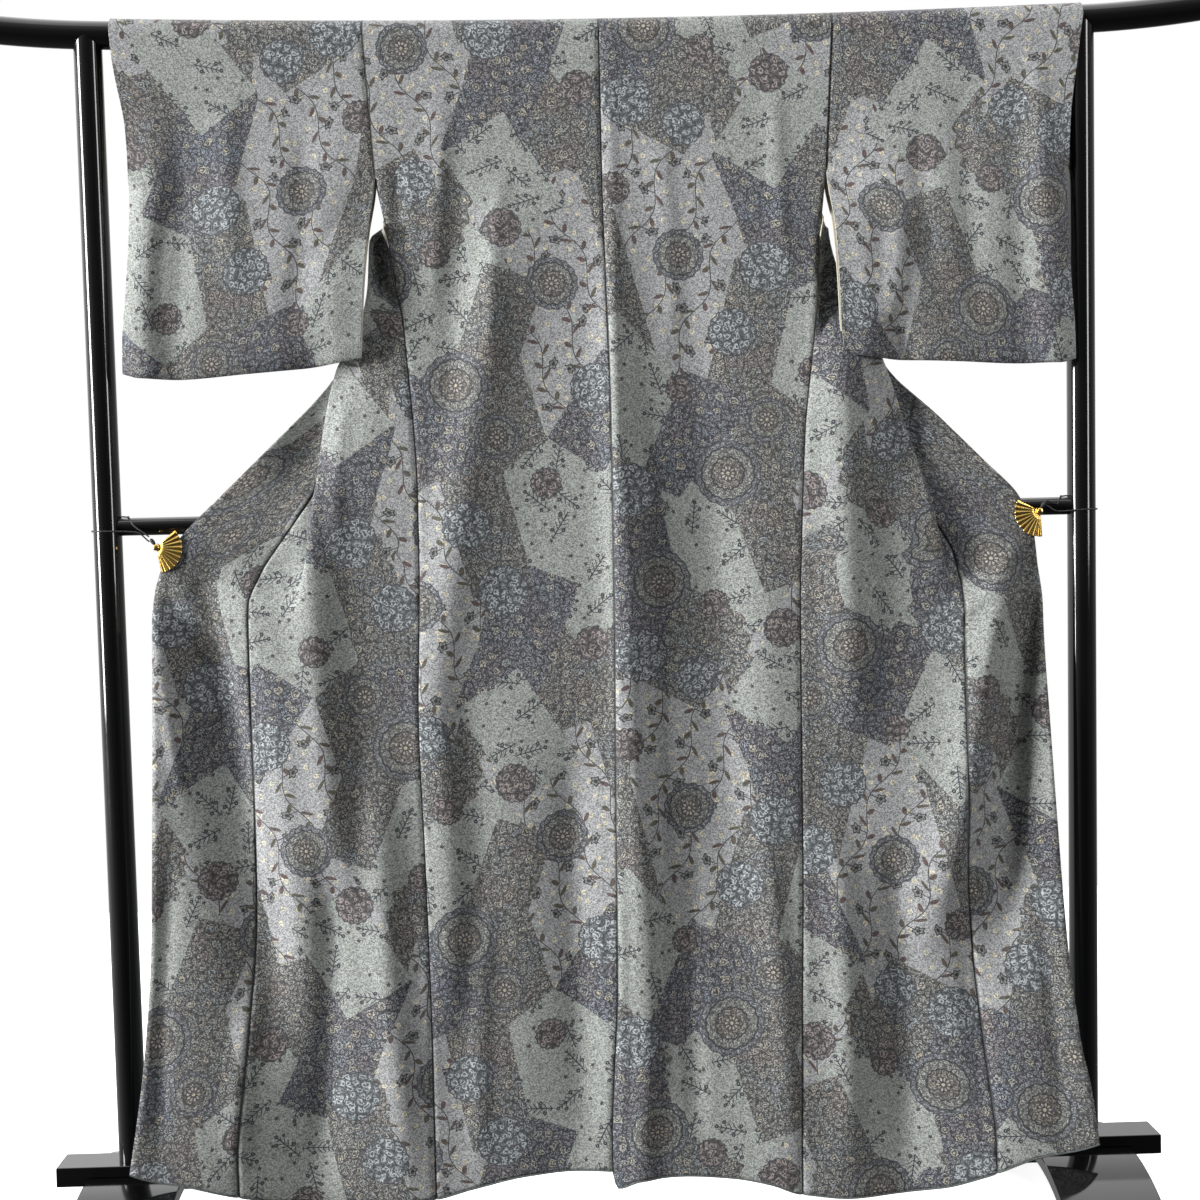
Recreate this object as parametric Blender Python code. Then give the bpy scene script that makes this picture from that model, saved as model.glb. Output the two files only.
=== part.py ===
"""A lined kimono, its back to the viewer, hung over the top bar of a lacquered display stand.

Metres, +Z up. The viewer looks along +Y, so the back of the garment faces -Y and +X is the viewer's
right. The origin is on the floor, midway between the feet, straight below the top bar.

Cloth is a sheet at the middle of its thickness, made from rows of points and thickened by Solidify.
A row of the body is a level cut through the cloth: from the centre back seam to the side edge on the
back, and from the side edge to the collar on the front. Tables give outward distances from the
middle of the stand, in metres, and a side of -1 or +1 turns them into X.
"""

import math

import bmesh
import bpy

# Cloth
WALL = 0.0020               # crepe and lining together
COLLAR_WALL = 0.0016
SEAM_GAP = 0.0003           # between two pieces that are sewn together
FOLD_RADIUS = 0.0035        # of the middle of the cloth where a front is folded on itself
NECK_HALF = 0.092           # from the centre back to the neck point
NECK_CURVE = 0.100          # radius of the collar's seam as it turns round the neck
NECK_TURN = 59.0            # degrees that it turns on each side
NECK_FLAT = 0.043           # from the centre back to the start of the turn
COLLAR_FOLDED = 0.055
COLLAR_BEHIND = 0.0040      # from the front's cloth to the collar's first layer
COLLAR_LAYERS = 0.0040      # from the collar's first layer to its second

# Stand
BAR_RADIUS = 0.0190
BAR_MIDDLE = 1.639          # height of the bar's axis at the middle, where it is lowest
BAR_BOW = 0.025             # rise of the bar's axis, times the square of the distance out
BAR_FLICK = 0.30            # further rise of its ends, times the square of the distance past the post
BAR_HALF = 0.860
POST_RADIUS = 0.0190
POST_TOP_X = 0.665
POST_FOOT_X = 0.652
RAIL_RADIUS = 0.0120
RAIL_HEIGHT = 0.9946
BLOCK_X = 0.650             # middle of the saddle block that the post stands on
BLOCK_LENGTH = 0.200
BLOCK_DEPTH = 0.060
BLOCK_TOP = 0.134
BLOCK_HEIGHT = 0.0265
BOARD_X = 0.6425            # middle of the arched board under the block
BOARD_WIDTH = 0.130
BOARD_TOP = 0.1190
BOARD_THICKNESS = 0.0180
BOARD_REACH = 0.285         # from the middle of the arch to its toe on the floor
TOUCH = 0.0003              # between parts of the stand that meet
BLOCK_ROUNDING = 0.0015
BOARD_ROUNDING = 0.0020
SHARP_ANGLE = math.radians(40)       # edges that turn more than this stay sharp

ROUND_STEP = 22.5           # degrees between the rows that go over the bar
CLOTH_RADIUS = (BAR_RADIUS + TOUCH) / math.cos(math.radians(ROUND_STEP / 2)) + WALL / 2

# Heights at which the cloth changes
SIDE_SEAM_TOP = {-1: 1.325, 1: 1.350}
ARMHOLE_END = 1.450         # the sleeve is sewn to the body above this height
PLEAT_OPENS = 0.965         # the pleat of the front starts to open out here
PLEAT_GONE = 0.865          # and has gone here
TUCKED = 1.000              # below this height every layer lies in front of the rail

# The back and the front share their rows below the side seam's top, and the body and the sleeves
# along the armhole, so that their sewn edges run side by side.
ARMHOLE_HEIGHTS = (1.600, 1.530, ARMHOLE_END)
ARMHOLE_TOP = 1.660
SEAM_HEIGHTS = (1.265, 1.230, 1.195, 1.155, 1.115, 1.075, 1.035, 1.000, PLEAT_OPENS, 0.950, 0.935,
                0.920, 0.905, 0.890, PLEAT_GONE, 0.820, 0.740, 0.650, 0.550, 0.470, 0.400, 0.300,
                0.200, 0.120, 0.060, 0.000)

# The centre back seam leans a little as it hangs.
CENTRE_COLUMNS = ("height", "x")
CENTRE = (
    (1.66, 0.015),
    (1.45, 0.015),
    (1.15, 0.020),
    (0.90, 0.019),
    (0.60, 0.015),
    (0.34, 0.012),
    (0.20, 0.005),
    (0.08, 0.000),
)

# Level cuts through each front. edge: the side edge or side seam. run: cloth from the side seam to
# the outer fold. turn: the inner fold. end: where the okumi or the collar is sewn on.
FRONT_COLUMNS = ("height", "edge", "run", "turn", "end")
FRONT = {
    -1: (
        (1.660, 0.300, 0.004, 0.092, 0.080),
        (1.550, 0.293, 0.004, 0.108, 0.141),
        (1.450, 0.286, 0.004, 0.126, 0.198),
        (1.350, 0.269, 0.004, 0.152, 0.255),
        (1.300, 0.262, 0.012, 0.182, 0.283),
        (1.260, 0.254, 0.052, 0.224, 0.301),
        (1.195, 0.249, 0.093, 0.271, 0.321),
        (1.115, 0.243, 0.118, 0.306, 0.346),
        (1.035, 0.240, 0.133, 0.336, 0.378),
        (0.975, 0.240, 0.142, 0.366, 0.420),
        (0.930, 0.240, 0.147, 0.380, 0.452),
        (0.885, 0.241, 0.150, 0.385, 0.469),
        (0.720, 0.246, 0.150, 0.385, 0.469),
        (0.520, 0.242, 0.150, 0.385, 0.471),
        (0.310, 0.239, 0.150, 0.385, 0.481),
        (0.080, 0.239, 0.150, 0.385, 0.500),
    ),
    1: (
        (1.660, 0.328, 0.004, 0.119, 0.107),
        (1.550, 0.322, 0.004, 0.138, 0.174),
        (1.450, 0.315, 0.004, 0.160, 0.235),
        (1.350, 0.304, 0.008, 0.200, 0.295),
        (1.300, 0.300, 0.034, 0.243, 0.326),
        (1.260, 0.297, 0.058, 0.276, 0.349),
        (1.173, 0.287, 0.106, 0.332, 0.372),
        (1.115, 0.280, 0.130, 0.364, 0.392),
        (1.035, 0.275, 0.160, 0.405, 0.420),
        (0.975, 0.272, 0.178, 0.432, 0.455),
        (0.930, 0.270, 0.187, 0.445, 0.480),
        (0.885, 0.268, 0.190, 0.450, 0.486),
        (0.720, 0.266, 0.190, 0.450, 0.482),
        (0.520, 0.264, 0.190, 0.450, 0.486),
        (0.310, 0.259, 0.190, 0.450, 0.498),
        (0.080, 0.255, 0.190, 0.450, 0.515),
    ),
}

# Outer edge of each okumi: the collar's seam down to the clip, and the free edge below it.
OKUMI_COLUMNS = ("height", "edge")
OKUMI = {
    -1: (
        (1.265, 0.304),
        (1.195, 0.345),
        (1.093, 0.440),
        (1.035, 0.500),
        (0.985, 0.552),
        (0.950, 0.579),
        (0.905, 0.594),
        (0.820, 0.597),
        (0.627, 0.602),
        (0.420, 0.609),
        (0.213, 0.620),
        (0.120, 0.628),
        (0.000, 0.640),
    ),
    1: (
        (1.265, 0.352),
        (1.196, 0.389),
        (1.113, 0.468),
        (1.060, 0.520),
        (1.008, 0.569),
        (0.960, 0.588),
        (0.905, 0.595),
        (0.820, 0.598),
        (0.627, 0.606),
        (0.420, 0.618),
        (0.213, 0.631),
        (0.120, 0.642),
        (0.000, 0.651),
    ),
}

# The collar's seam, from the clip up to where it starts to turn round the neck.
COLLAR_COLUMNS = ("height", "out")
COLLAR = {
    -1: (
        (0.940, 0.5805),
        (0.955, 0.5740),
        (0.985, 0.550),
        (1.093, 0.440),
        (1.195, 0.345),
        (1.300, 0.284),
        (1.450, 0.199),
        (1.550, 0.142),
    ),
    1: (
        (0.950, 0.587),
        (0.970, 0.583),
        (1.008, 0.567),
        (1.113, 0.467),
        (1.196, 0.389),
        (1.300, 0.327),
        (1.450, 0.236),
        (1.550, 0.175),
    ),
}

# Height of the hem along the whole lower edge, from the viewer's left to the right.
HEM_COLUMNS = ("x", "height")
HEM = (
    (-0.656, 0.146),
    (-0.606, 0.127),
    (-0.565, 0.119),
    (-0.500, 0.100),
    (-0.440, 0.086),
    (-0.340, 0.078),
    (-0.239, 0.084),
    (-0.186, 0.096),
    (-0.116, 0.110),
    (-0.046, 0.114),
    (-0.001, 0.113),
    (0.006, 0.090),
    (0.039, 0.101),
    (0.092, 0.104),
    (0.161, 0.099),
    (0.213, 0.090),
    (0.253, 0.076),
    (0.323, 0.069),
    (0.392, 0.071),
    (0.444, 0.078),
    (0.500, 0.096),
    (0.568, 0.122),
    (0.620, 0.131),
    (0.670, 0.147),
)

# Soft folds of the cloth: a line from top to foot, how wide the fold is to either side, and how far
# it stands towards the viewer. A negative depth is a trough.
FOLD_COLUMNS = ("top_x", "top_z", "foot_x", "foot_z", "width", "depth")
FOLDS = (
    (-0.090, 1.480, -0.185, 0.820, 0.045, 0.007),
    (-0.190, 0.900, -0.185, 0.300, 0.050, -0.006),
    (0.045, 1.450, 0.040, 0.090, 0.020, 0.008),
    (-0.060, 0.800, -0.065, 0.100, 0.045, -0.007),
    (0.135, 1.250, 0.150, 0.300, 0.055, -0.007),
    (0.220, 1.150, 0.225, 0.100, 0.040, 0.006),
    (-0.440, 0.930, -0.410, 0.400, 0.045, 0.010),
    (-0.555, 0.930, -0.485, 0.400, 0.036, -0.012),
    (0.530, 0.900, 0.435, 0.480, 0.040, 0.009),
    (0.570, 0.930, 0.510, 0.380, 0.036, -0.013),
    (-0.310, 0.700, -0.275, 0.100, 0.045, 0.007),
    (-0.375, 0.550, -0.390, 0.100, 0.040, -0.006),
    (0.310, 0.620, 0.315, 0.100, 0.045, 0.007),
    (0.395, 0.560, 0.400, 0.100, 0.040, -0.006),
    (-0.605, 0.800, -0.640, 0.100, 0.030, 0.006),
    (0.610, 0.800, 0.655, 0.100, 0.030, 0.006),
)

# Each sleeve: its inner and outer edges and how far apart its two layers hang, going down.
SLEEVE_COLUMNS = ("height", "inner", "outer", "apart")
SLEEVE = {
    -1: (
        (1.660, 0.3003, 0.634, 0.0408),
        (1.610, 0.2968, 0.630, 0.0400),
        (1.520, 0.2912, 0.615, 0.0340),
        (1.450, 0.2868, 0.612, 0.0280),
        (1.380, 0.2960, 0.613, 0.0230),
        (1.300, 0.3030, 0.618, 0.0180),
        (1.240, 0.3070, 0.624, 0.0140),
        (1.206, 0.3090, 0.625, 0.0110),
    ),
    1: (
        (1.660, 0.3283, 0.668, 0.0408),
        (1.610, 0.3258, 0.660, 0.0404),
        (1.520, 0.3202, 0.646, 0.0398),
        (1.450, 0.3158, 0.640, 0.0320),
        (1.380, 0.3210, 0.638, 0.0240),
        (1.300, 0.3260, 0.640, 0.0180),
        (1.240, 0.3280, 0.644, 0.0140),
        (1.206, 0.3320, 0.645, 0.0110),
    ),
}
SLEEVE_BOTTOM_COLUMNS = ("share", "height")
SLEEVE_BOTTOM = {
    -1: ((0.00, 1.210), (0.25, 1.199), (0.50, 1.193), (0.75, 1.188), (0.93, 1.191), (1.00, 1.197)),
    1: ((0.00, 1.204), (0.25, 1.195), (0.50, 1.191), (0.75, 1.187), (0.93, 1.187), (1.00, 1.192)),
}
SLEEVE_MOUTH = 1.430        # the mouth is open above this height and sewn shut below it
SLEEVE_FORWARD = {-1: 1.280, 1: 1.340}   # both layers are in front of the body below this height
SLEEVE_SWELLS = (           # soft upright folds near the mouth: share of the width, spread, depth
    (0.90, 0.070, 0.007),
    (0.78, 0.060, -0.004),
    (0.12, 0.060, 0.003),
)

# Fan clips: gilt metal fans on a pin at the cloth's edge, with a jaw behind the cloth. A cord ties
# each one to its post.
FAN_PIVOT = {-1: (-0.590, 0.966), 1: (0.596, 0.988)}
FAN_OUTER = 0.0345
FAN_INNER = 0.0120
FAN_START = {-1: 41.0, 1: 152.0}     # direction of the first rib, degrees from +X
FAN_SPAN = {-1: -122.0, 1: 123.0}
FAN_RIBS = 10
FAN_RIDGE = 0.0014
FAN_THICKNESS = 0.0010
FAN_STANDS_OFF = 0.0042     # from the middle of the cloth to the middle of the fan
PIN_RADIUS = 0.0042
JAW_LENGTH = 0.026
JAW_WIDTH = 0.010
JAW_FRONT = -0.0129
JAW_BACK = -0.0122
KNOT_HALF = (0.0052, 0.0028)
KNOT_DIRECTION = {-1: 126.0, 1: 54.0}
CORD_RADIUS = 0.0010
CORD_STEPS = 2              # points of the tube for each point of its route
CORD_GAP = 0.0005           # between the cord and what it goes round
CORD_STRAIGHT = 0.018       # how far it runs straight out from the knot
CORD_BACK = ((-20, 0.007), (15, 0.010), (50, 0.014), (80, 0.018))  # over the rail: degrees, from the post
KNOT_TOP = 0.0022           # how far above the knot the cord's end comes down
PIN_HEAD = ((0.35, -0.0026), (0.80, -0.0021), (1.0, -0.0010))      # share of the radius, y from the fan
ROUND_SIDES = 16            # of the pin

# Where the cloth hangs: y of each layer at the level of the rail and how far the hem comes forward
LEVEL_OF_RAIL = -0.0390
BEHIND_AT_RAIL = -0.0310
LEANS_FORWARD = 0.008
OVER_FEET = 0.027
HEM_BEND_STARTS = 0.400     # rows below this height bend with the hem
SLEEVE_LOW_Y = -0.046       # the low part of a sleeve, at its inner edge
SLEEVE_LOW_TURN = 0.014     # and how much farther back its mouth is
LAST_SLEEVE_ROW = 1.206     # height of the last row of the sleeve table
SLEEVE_LIP = 0.0040         # half the width of the round turn at the sleeve's bottom


# Reading the tables

def smooth_table(rows, column, at):
    """Value of a column at a place along the first one, on a smooth curve through the rows."""
    places = [row[0] for row in rows]
    values = [row[column] for row in rows]
    if places[0] > places[-1]:
        places.reverse()
        values.reverse()
    if at <= places[0]:
        return values[0]
    if at >= places[-1]:
        return values[-1]
    last = len(places) - 1
    i = max(k for k in range(last) if places[k] <= at)
    step = places[i + 1] - places[i]
    rise = (values[i + 1] - values[i]) / step

    def slope(k):
        if k == 0 or k == last:
            return (values[min(k + 1, last)] - values[max(k - 1, 0)]) / (
                places[min(k + 1, last)] - places[max(k - 1, 0)])
        before = (values[k] - values[k - 1]) / (places[k] - places[k - 1])
        after = (values[k + 1] - values[k]) / (places[k + 1] - places[k])
        if before * after <= 0.0:
            return 0.0
        return 2.0 * before * after / (before + after)

    t = (at - places[i]) / step
    start, finish = slope(i) * step, slope(i + 1) * step
    return (values[i] + start * t + (3.0 * rise * step - 2.0 * start - finish) * t ** 2
            + (start + finish - 2.0 * rise * step) * t ** 3)


def read(columns, rows, name, at):
    """The named column of a table at a place along its first column."""
    return smooth_table(rows, columns.index(name), at)


def ease(low, high, value):
    """0 at low, 1 at high and an S-curve between them; low may be the greater."""
    t = min(max((value - low) / (high - low), 0.0), 1.0)
    return t * t * (3.0 - 2.0 * t)


def side_edge(side, z):
    """Side edge of the body: straight along the armhole, then as the table says."""
    rows = FRONT[side]
    if z < ARMHOLE_END:
        return read(FRONT_COLUMNS, rows, "edge", z)
    top, end = (read(FRONT_COLUMNS, rows, "edge", height) for height in (ARMHOLE_TOP, ARMHOLE_END))
    return end + (top - end) * (z - ARMHOLE_END) / (ARMHOLE_TOP - ARMHOLE_END)


# Where the cloth hangs

def bar_height(x):
    past = max(abs(x) - POST_TOP_X, 0.0)
    return BAR_MIDDLE + BAR_BOW * x * x + BAR_FLICK * past * past


def fold_depth(x, z):
    """How far the soft folds bring the cloth towards the viewer at a place."""
    total = 0.0
    for row in FOLDS:
        fold = dict(zip(FOLD_COLUMNS, row))
        share = (fold["top_z"] - z) / (fold["top_z"] - fold["foot_z"])
        middle = fold["top_x"] + (fold["foot_x"] - fold["top_x"]) * min(max(share, 0.0), 1.0)
        fade = ease(-0.02, 0.35, share)
        if fold["foot_z"] > 0.2:
            fade *= ease(1.35, 0.75, share)
        total += fold["depth"] * fade * math.exp(-((x - middle) / fold["width"]) ** 2)
    return total


def lower_y(x, z):
    """The single layer below the clips: it moves forward over the feet."""
    over_feet = OVER_FEET * ease(0.50, 0.12, z) * ease(0.40, 0.56, abs(x))
    return LEVEL_OF_RAIL - LEANS_FORWARD * ease(0.90, 0.10, z) - over_feet


def back_y(z):
    """The back, and the first layer of the fronts, from the bar down to the level of the rail."""
    return -CLOTH_RADIUS + (CLOTH_RADIUS + LEVEL_OF_RAIL) * ease(BAR_MIDDLE, TUCKED, z)


def behind_y(z):
    """The second layer of the fronts, which starts on the far side of the bar."""
    return CLOTH_RADIUS + (BEHIND_AT_RAIL - CLOTH_RADIUS) * ease(BAR_MIDDLE + 0.02, TUCKED + 0.02, z)


def cloth_y(x, z, layer_y):
    lower = ease(PLEAT_OPENS, PLEAT_GONE, z)
    return layer_y + (lower_y(x, z) - LEVEL_OF_RAIL) * lower - fold_depth(x, z)


def front_cut(side, z):
    """Level cut through one front: points (out, y) from the side edge to the end of the cloth."""
    edge = side_edge(side, z)
    run, turn, end = (read(FRONT_COLUMNS, FRONT[side], name, z) for name in ("run", "turn", "end"))
    seam_top = SIDE_SEAM_TOP[side]
    first, second = back_y(z), behind_y(z)
    across = max(second - first - 2 * FOLD_RADIUS, 0.001)
    start_angle = math.pi * ease(seam_top + 0.004, seam_top + 0.045, z)
    middle_angle = math.pi * (1.0 - ease(PLEAT_OPENS, PLEAT_GONE, z))
    last_angle = math.pi * ease(1.560, 1.635, z)
    out = edge + SEAM_GAP / 2 * ease(ARMHOLE_END, seam_top + 0.05, z)
    out += WALL * math.sin(start_angle)
    y = 0.0
    cut = [(out, y)]

    def lay(length, angle_from, angle_to, steps):
        nonlocal out, y
        for k in range(steps):
            angle = angle_from + (angle_to - angle_from) * (k + 0.5) / steps
            out += length / steps * math.cos(angle)
            y += length / steps * math.sin(angle)
            cut.append((out, y))

    corner_angle = (start_angle + middle_angle) / 2
    lay(run, start_angle, start_angle, 3)
    lay(math.pi / 2 * FOLD_RADIUS, start_angle, corner_angle, 2)
    lay(across, corner_angle, corner_angle, 1)
    lay(math.pi / 2 * FOLD_RADIUS, corner_angle, middle_angle, 2)
    start_y = second - y if z > PLEAT_OPENS else first
    under = FOLD_RADIUS
    if math.cos(middle_angle) < -0.9:
        under = max(out - turn, FOLD_RADIUS)
    lay(under, middle_angle, middle_angle, 2)
    lay(math.pi * FOLD_RADIUS, middle_angle, last_angle, 4)
    rest = FOLD_RADIUS
    if abs(math.cos(last_angle)) > 0.95:
        rest = max((end - out) / math.cos(last_angle), FOLD_RADIUS)
    lay(rest, last_angle, last_angle, 3)
    return [(out, start_y + y) for out, y in cut]


def lower_height(x, row_height):
    """Rows below the start bend so that the last one is the hem."""
    if row_height >= HEM_BEND_STARTS:
        return row_height
    share = (HEM_BEND_STARTS - row_height) / HEM_BEND_STARTS
    return HEM_BEND_STARTS + (read(HEM_COLUMNS, HEM, "height", x) - HEM_BEND_STARTS) * share


# Sheets of cloth

class Sheet:
    """A surface built from rows of points; neighbouring rows may differ in number."""

    def __init__(self):
        self.points = []
        self.faces = []

    def row(self, points):
        first = len(self.points)
        self.points.extend(points)
        return list(range(first, len(self.points)))

    def bridge(self, one, two):
        i = j = 0
        while i < len(one) - 1 or j < len(two) - 1:
            step_one = (i + 1) / (len(one) - 1) if i < len(one) - 1 else 2.0
            step_two = (j + 1) / (len(two) - 1) if j < len(two) - 1 else 2.0
            if abs(step_one - step_two) < 1e-9:
                self.faces.append((one[i], one[i + 1], two[j + 1], two[j]))
                i += 1
                j += 1
            elif step_one < step_two:
                self.faces.append((one[i], one[i + 1], two[j]))
                i += 1
            else:
                self.faces.append((one[i], two[j + 1], two[j]))
                j += 1

    def to_object(self, name, material, wall=WALL, weld=False):
        mesh = bpy.data.meshes.new(name)
        mesh.from_pydata(self.points, [], self.faces)
        work = bmesh.new()
        work.from_mesh(mesh)
        if weld:
            bmesh.ops.remove_doubles(work, verts=work.verts, dist=1e-5)
        bmesh.ops.triangulate(work, faces=work.faces, quad_method='SHORT_EDGE')
        bmesh.ops.recalc_face_normals(work, faces=work.faces)
        work.to_mesh(mesh)
        work.free()
        mesh.shade_smooth()
        piece = bpy.data.objects.new(name, mesh)
        bpy.context.scene.collection.objects.link(piece)
        thicken = piece.modifiers.new("wall", 'SOLIDIFY')
        thicken.thickness = wall
        thicken.offset = 0.0
        thicken.use_even_offset = False
        mesh.materials.append(material)
        return piece


def spread(low, high, count):
    return [low + (high - low) * k / (count - 1) for k in range(count)]


def opening_heights(side):
    """Rows of the side opening, going up from just below the side seam's top."""
    top = SIDE_SEAM_TOP[side]
    return [1.300] * (side > 0) + [top, top + 0.012, top + 0.022, top + 0.032, top + 0.045, 1.420]


def front_heights(side):
    """Rows of the front above the side seam, going down from the bar."""
    return [1.630, 1.600, 1.565, 1.530, 1.490, ARMHOLE_END] + opening_heights(side)[::-1]


def make_body(side, material):
    """One body panel in one length: hem, back, over the bar, front, hem."""
    sheet = Sheet()
    columns = 9

    def back_row(height):
        centre = read(CENTRE_COLUMNS, CENTRE, "x", height)
        start = centre + side * SEAM_GAP / 2
        stop = side * side_edge(side, height)
        stop -= side * SEAM_GAP / 2 * ease(ARMHOLE_END, SIDE_SEAM_TOP[side] + 0.05, height)
        points = []
        for x in spread(start, stop, columns):
            z = lower_height(x, height)
            points.append((x, cloth_y(x, z, back_y(z)), z))
        return points

    heights = list(reversed(SEAM_HEIGHTS)) + opening_heights(side) + list(reversed(ARMHOLE_HEIGHTS))
    rows = [sheet.row(back_row(height)) for height in heights]
    for one, two in zip(rows, rows[1:]):
        sheet.bridge(one, two)

    centre = read(CENTRE_COLUMNS, CENTRE, "x", BAR_MIDDLE)
    start = centre + side * SEAM_GAP / 2
    neck = centre + side * NECK_HALF
    stop = side * side_edge(side, ARMHOLE_TOP)

    def bar_row(xs, degrees):
        angle = math.radians(degrees)
        return [(x, -CLOTH_RADIUS * math.cos(angle), bar_height(x) + CLOTH_RADIUS * math.sin(angle))
                for x in xs]

    behind_neck = spread(start, neck, 4)
    shoulder = spread(neck, stop, 8)
    full = behind_neck + shoulder[1:]
    last = rows[-1]
    for step in range(7):
        new = sheet.row(bar_row(full, step * ROUND_STEP))
        sheet.bridge(last, new)
        last = new
    outside = last[len(behind_neck) - 1:]
    for step in (7, 8):
        new = sheet.row(bar_row(shoulder, step * ROUND_STEP))
        sheet.bridge(outside, new)
        outside = new
    last = outside

    def front_row(height):
        points = []
        for out, y in front_cut(side, height):
            x = side * out
            z = lower_height(x, height)
            points.append((x, cloth_y(x, z, y), z))
        points.reverse()
        return points

    for height in front_heights(side) + [height for height in SEAM_HEIGHTS if height >= PLEAT_GONE]:
        new = sheet.row(front_row(height))
        sheet.bridge(last, new)
        last = new
    for height in (height for height in SEAM_HEIGHTS if height < PLEAT_GONE):
        cut = front_row(height)
        low = [cut[k] for k in (0, 2, 5, 9, 12, 14, 15, 17)]
        new = sheet.row(low)
        sheet.bridge(last, new)
        last = new
    return sheet.to_object("body_left" if side < 0 else "body_right", material)


def make_okumi(side, material):
    """The gore between a front and its collar, ending in a point in the collar seam."""
    sheet = Sheet()
    last = None
    for height in SEAM_HEIGHTS[1:]:
        start, y = front_cut(side, height)[-1]
        stop = read(OKUMI_COLUMNS, OKUMI[side], "edge", height)
        points = []
        for out in spread(start + SEAM_GAP, stop, 7):
            x = side * out
            z = lower_height(x, height)
            points.append((x, cloth_y(x, z, y), z))
        new = sheet.row(points)
        if last:
            sheet.bridge(last, new)
        last = new
    return sheet.to_object("okumi_left" if side < 0 else "okumi_right", material)


def make_sleeve(side, material):
    """One sleeve: a flat bag over the bar, open at the mouth and along its inner edge."""
    sheet = Sheet()
    shares = [0.0, 0.10, 0.22, 0.36, 0.50, 0.64, 0.76, 0.86, 0.94, 0.985, 1.0]
    heights = list(ARMHOLE_HEIGHTS) + [SLEEVE_MOUTH, 1.380, 1.320, 1.260, 1.225]
    over = [step * ROUND_STEP for step in range(9)]
    sewn_from = heights.index(SLEEVE_MOUTH)

    def place(share, height):
        inner, outer = (read(SLEEVE_COLUMNS, SLEEVE[side], name, height)
                        for name in ("inner", "outer"))
        if height >= ARMHOLE_END:
            inner = side_edge(side, min(height, ARMHOLE_TOP)) + SEAM_GAP
        return side * (inner + (outer - inner) * share)

    def middle_y(share, height):
        """The lower part hangs in front of the body's folded edge and of the post."""
        low_y = SLEEVE_LOW_Y + SLEEVE_LOW_TURN * share
        return low_y * ease(1.56, SLEEVE_FORWARD[side], height)

    def swell(share, height):
        total = sum(depth * math.exp(-((share - at) / width) ** 2)
                    for at, width, depth in SLEEVE_SWELLS)
        return total * ease(1.60, 1.42, height)

    def half(share, height, sign, shut):
        gap = 0.0 if shut else read(SLEEVE_COLUMNS, SLEEVE[side], "apart", height) / 2
        if share == shares[-1] and height == ARMHOLE_END:
            gap *= 0.5
        y = middle_y(share, height) + sign * gap - swell(share, height)
        body_y = back_y(height) if sign < 0 else behind_y(height)
        away = max(ease(0.0, 0.3, share), ease(ARMHOLE_END, SLEEVE_FORWARD[side] + 0.03, height))
        y = body_y + (y - body_y) * away
        return (place(share, height), y, height)

    columns = []
    for share in shares:
        last_column = share == shares[-1]
        bottom = read(SLEEVE_BOTTOM_COLUMNS, SLEEVE_BOTTOM[side], "height", share)
        low_x = place(share, LAST_SLEEVE_ROW)
        low_y = middle_y(share, LAST_SLEEVE_ROW) - swell(share, LAST_SLEEVE_ROW)
        low = bottom + 1.5 * SLEEVE_LIP
        lip = 0.0 if last_column else SLEEVE_LIP
        loop = [(low_x, low_y, bottom), (low_x, low_y - lip, low)]
        for index in range(len(heights) - 1, -1, -1):
            shut = last_column and index >= sewn_from
            loop.append(half(share, heights[index], -1, shut))
        for degrees in over:
            angle = math.radians(degrees)
            x = place(share, ARMHOLE_TOP)
            loop.append((x, -CLOTH_RADIUS * math.cos(angle),
                         bar_height(x) + CLOTH_RADIUS * math.sin(angle)))
        for index in range(len(heights)):
            shut = last_column and index >= sewn_from
            loop.append(half(share, heights[index], 1, shut))
        loop.append((low_x, low_y + lip, low))
        columns.append(sheet.row(loop))
    for one, two in zip(columns, columns[1:]):
        count = len(one)
        for k in range(count):
            nearby = (k + 1) % count
            sheet.faces.append((one[k], one[nearby], two[nearby], two[k]))
    return sheet.to_object("sleeve_left" if side < 0 else "sleeve_right", material, weld=True)


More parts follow.
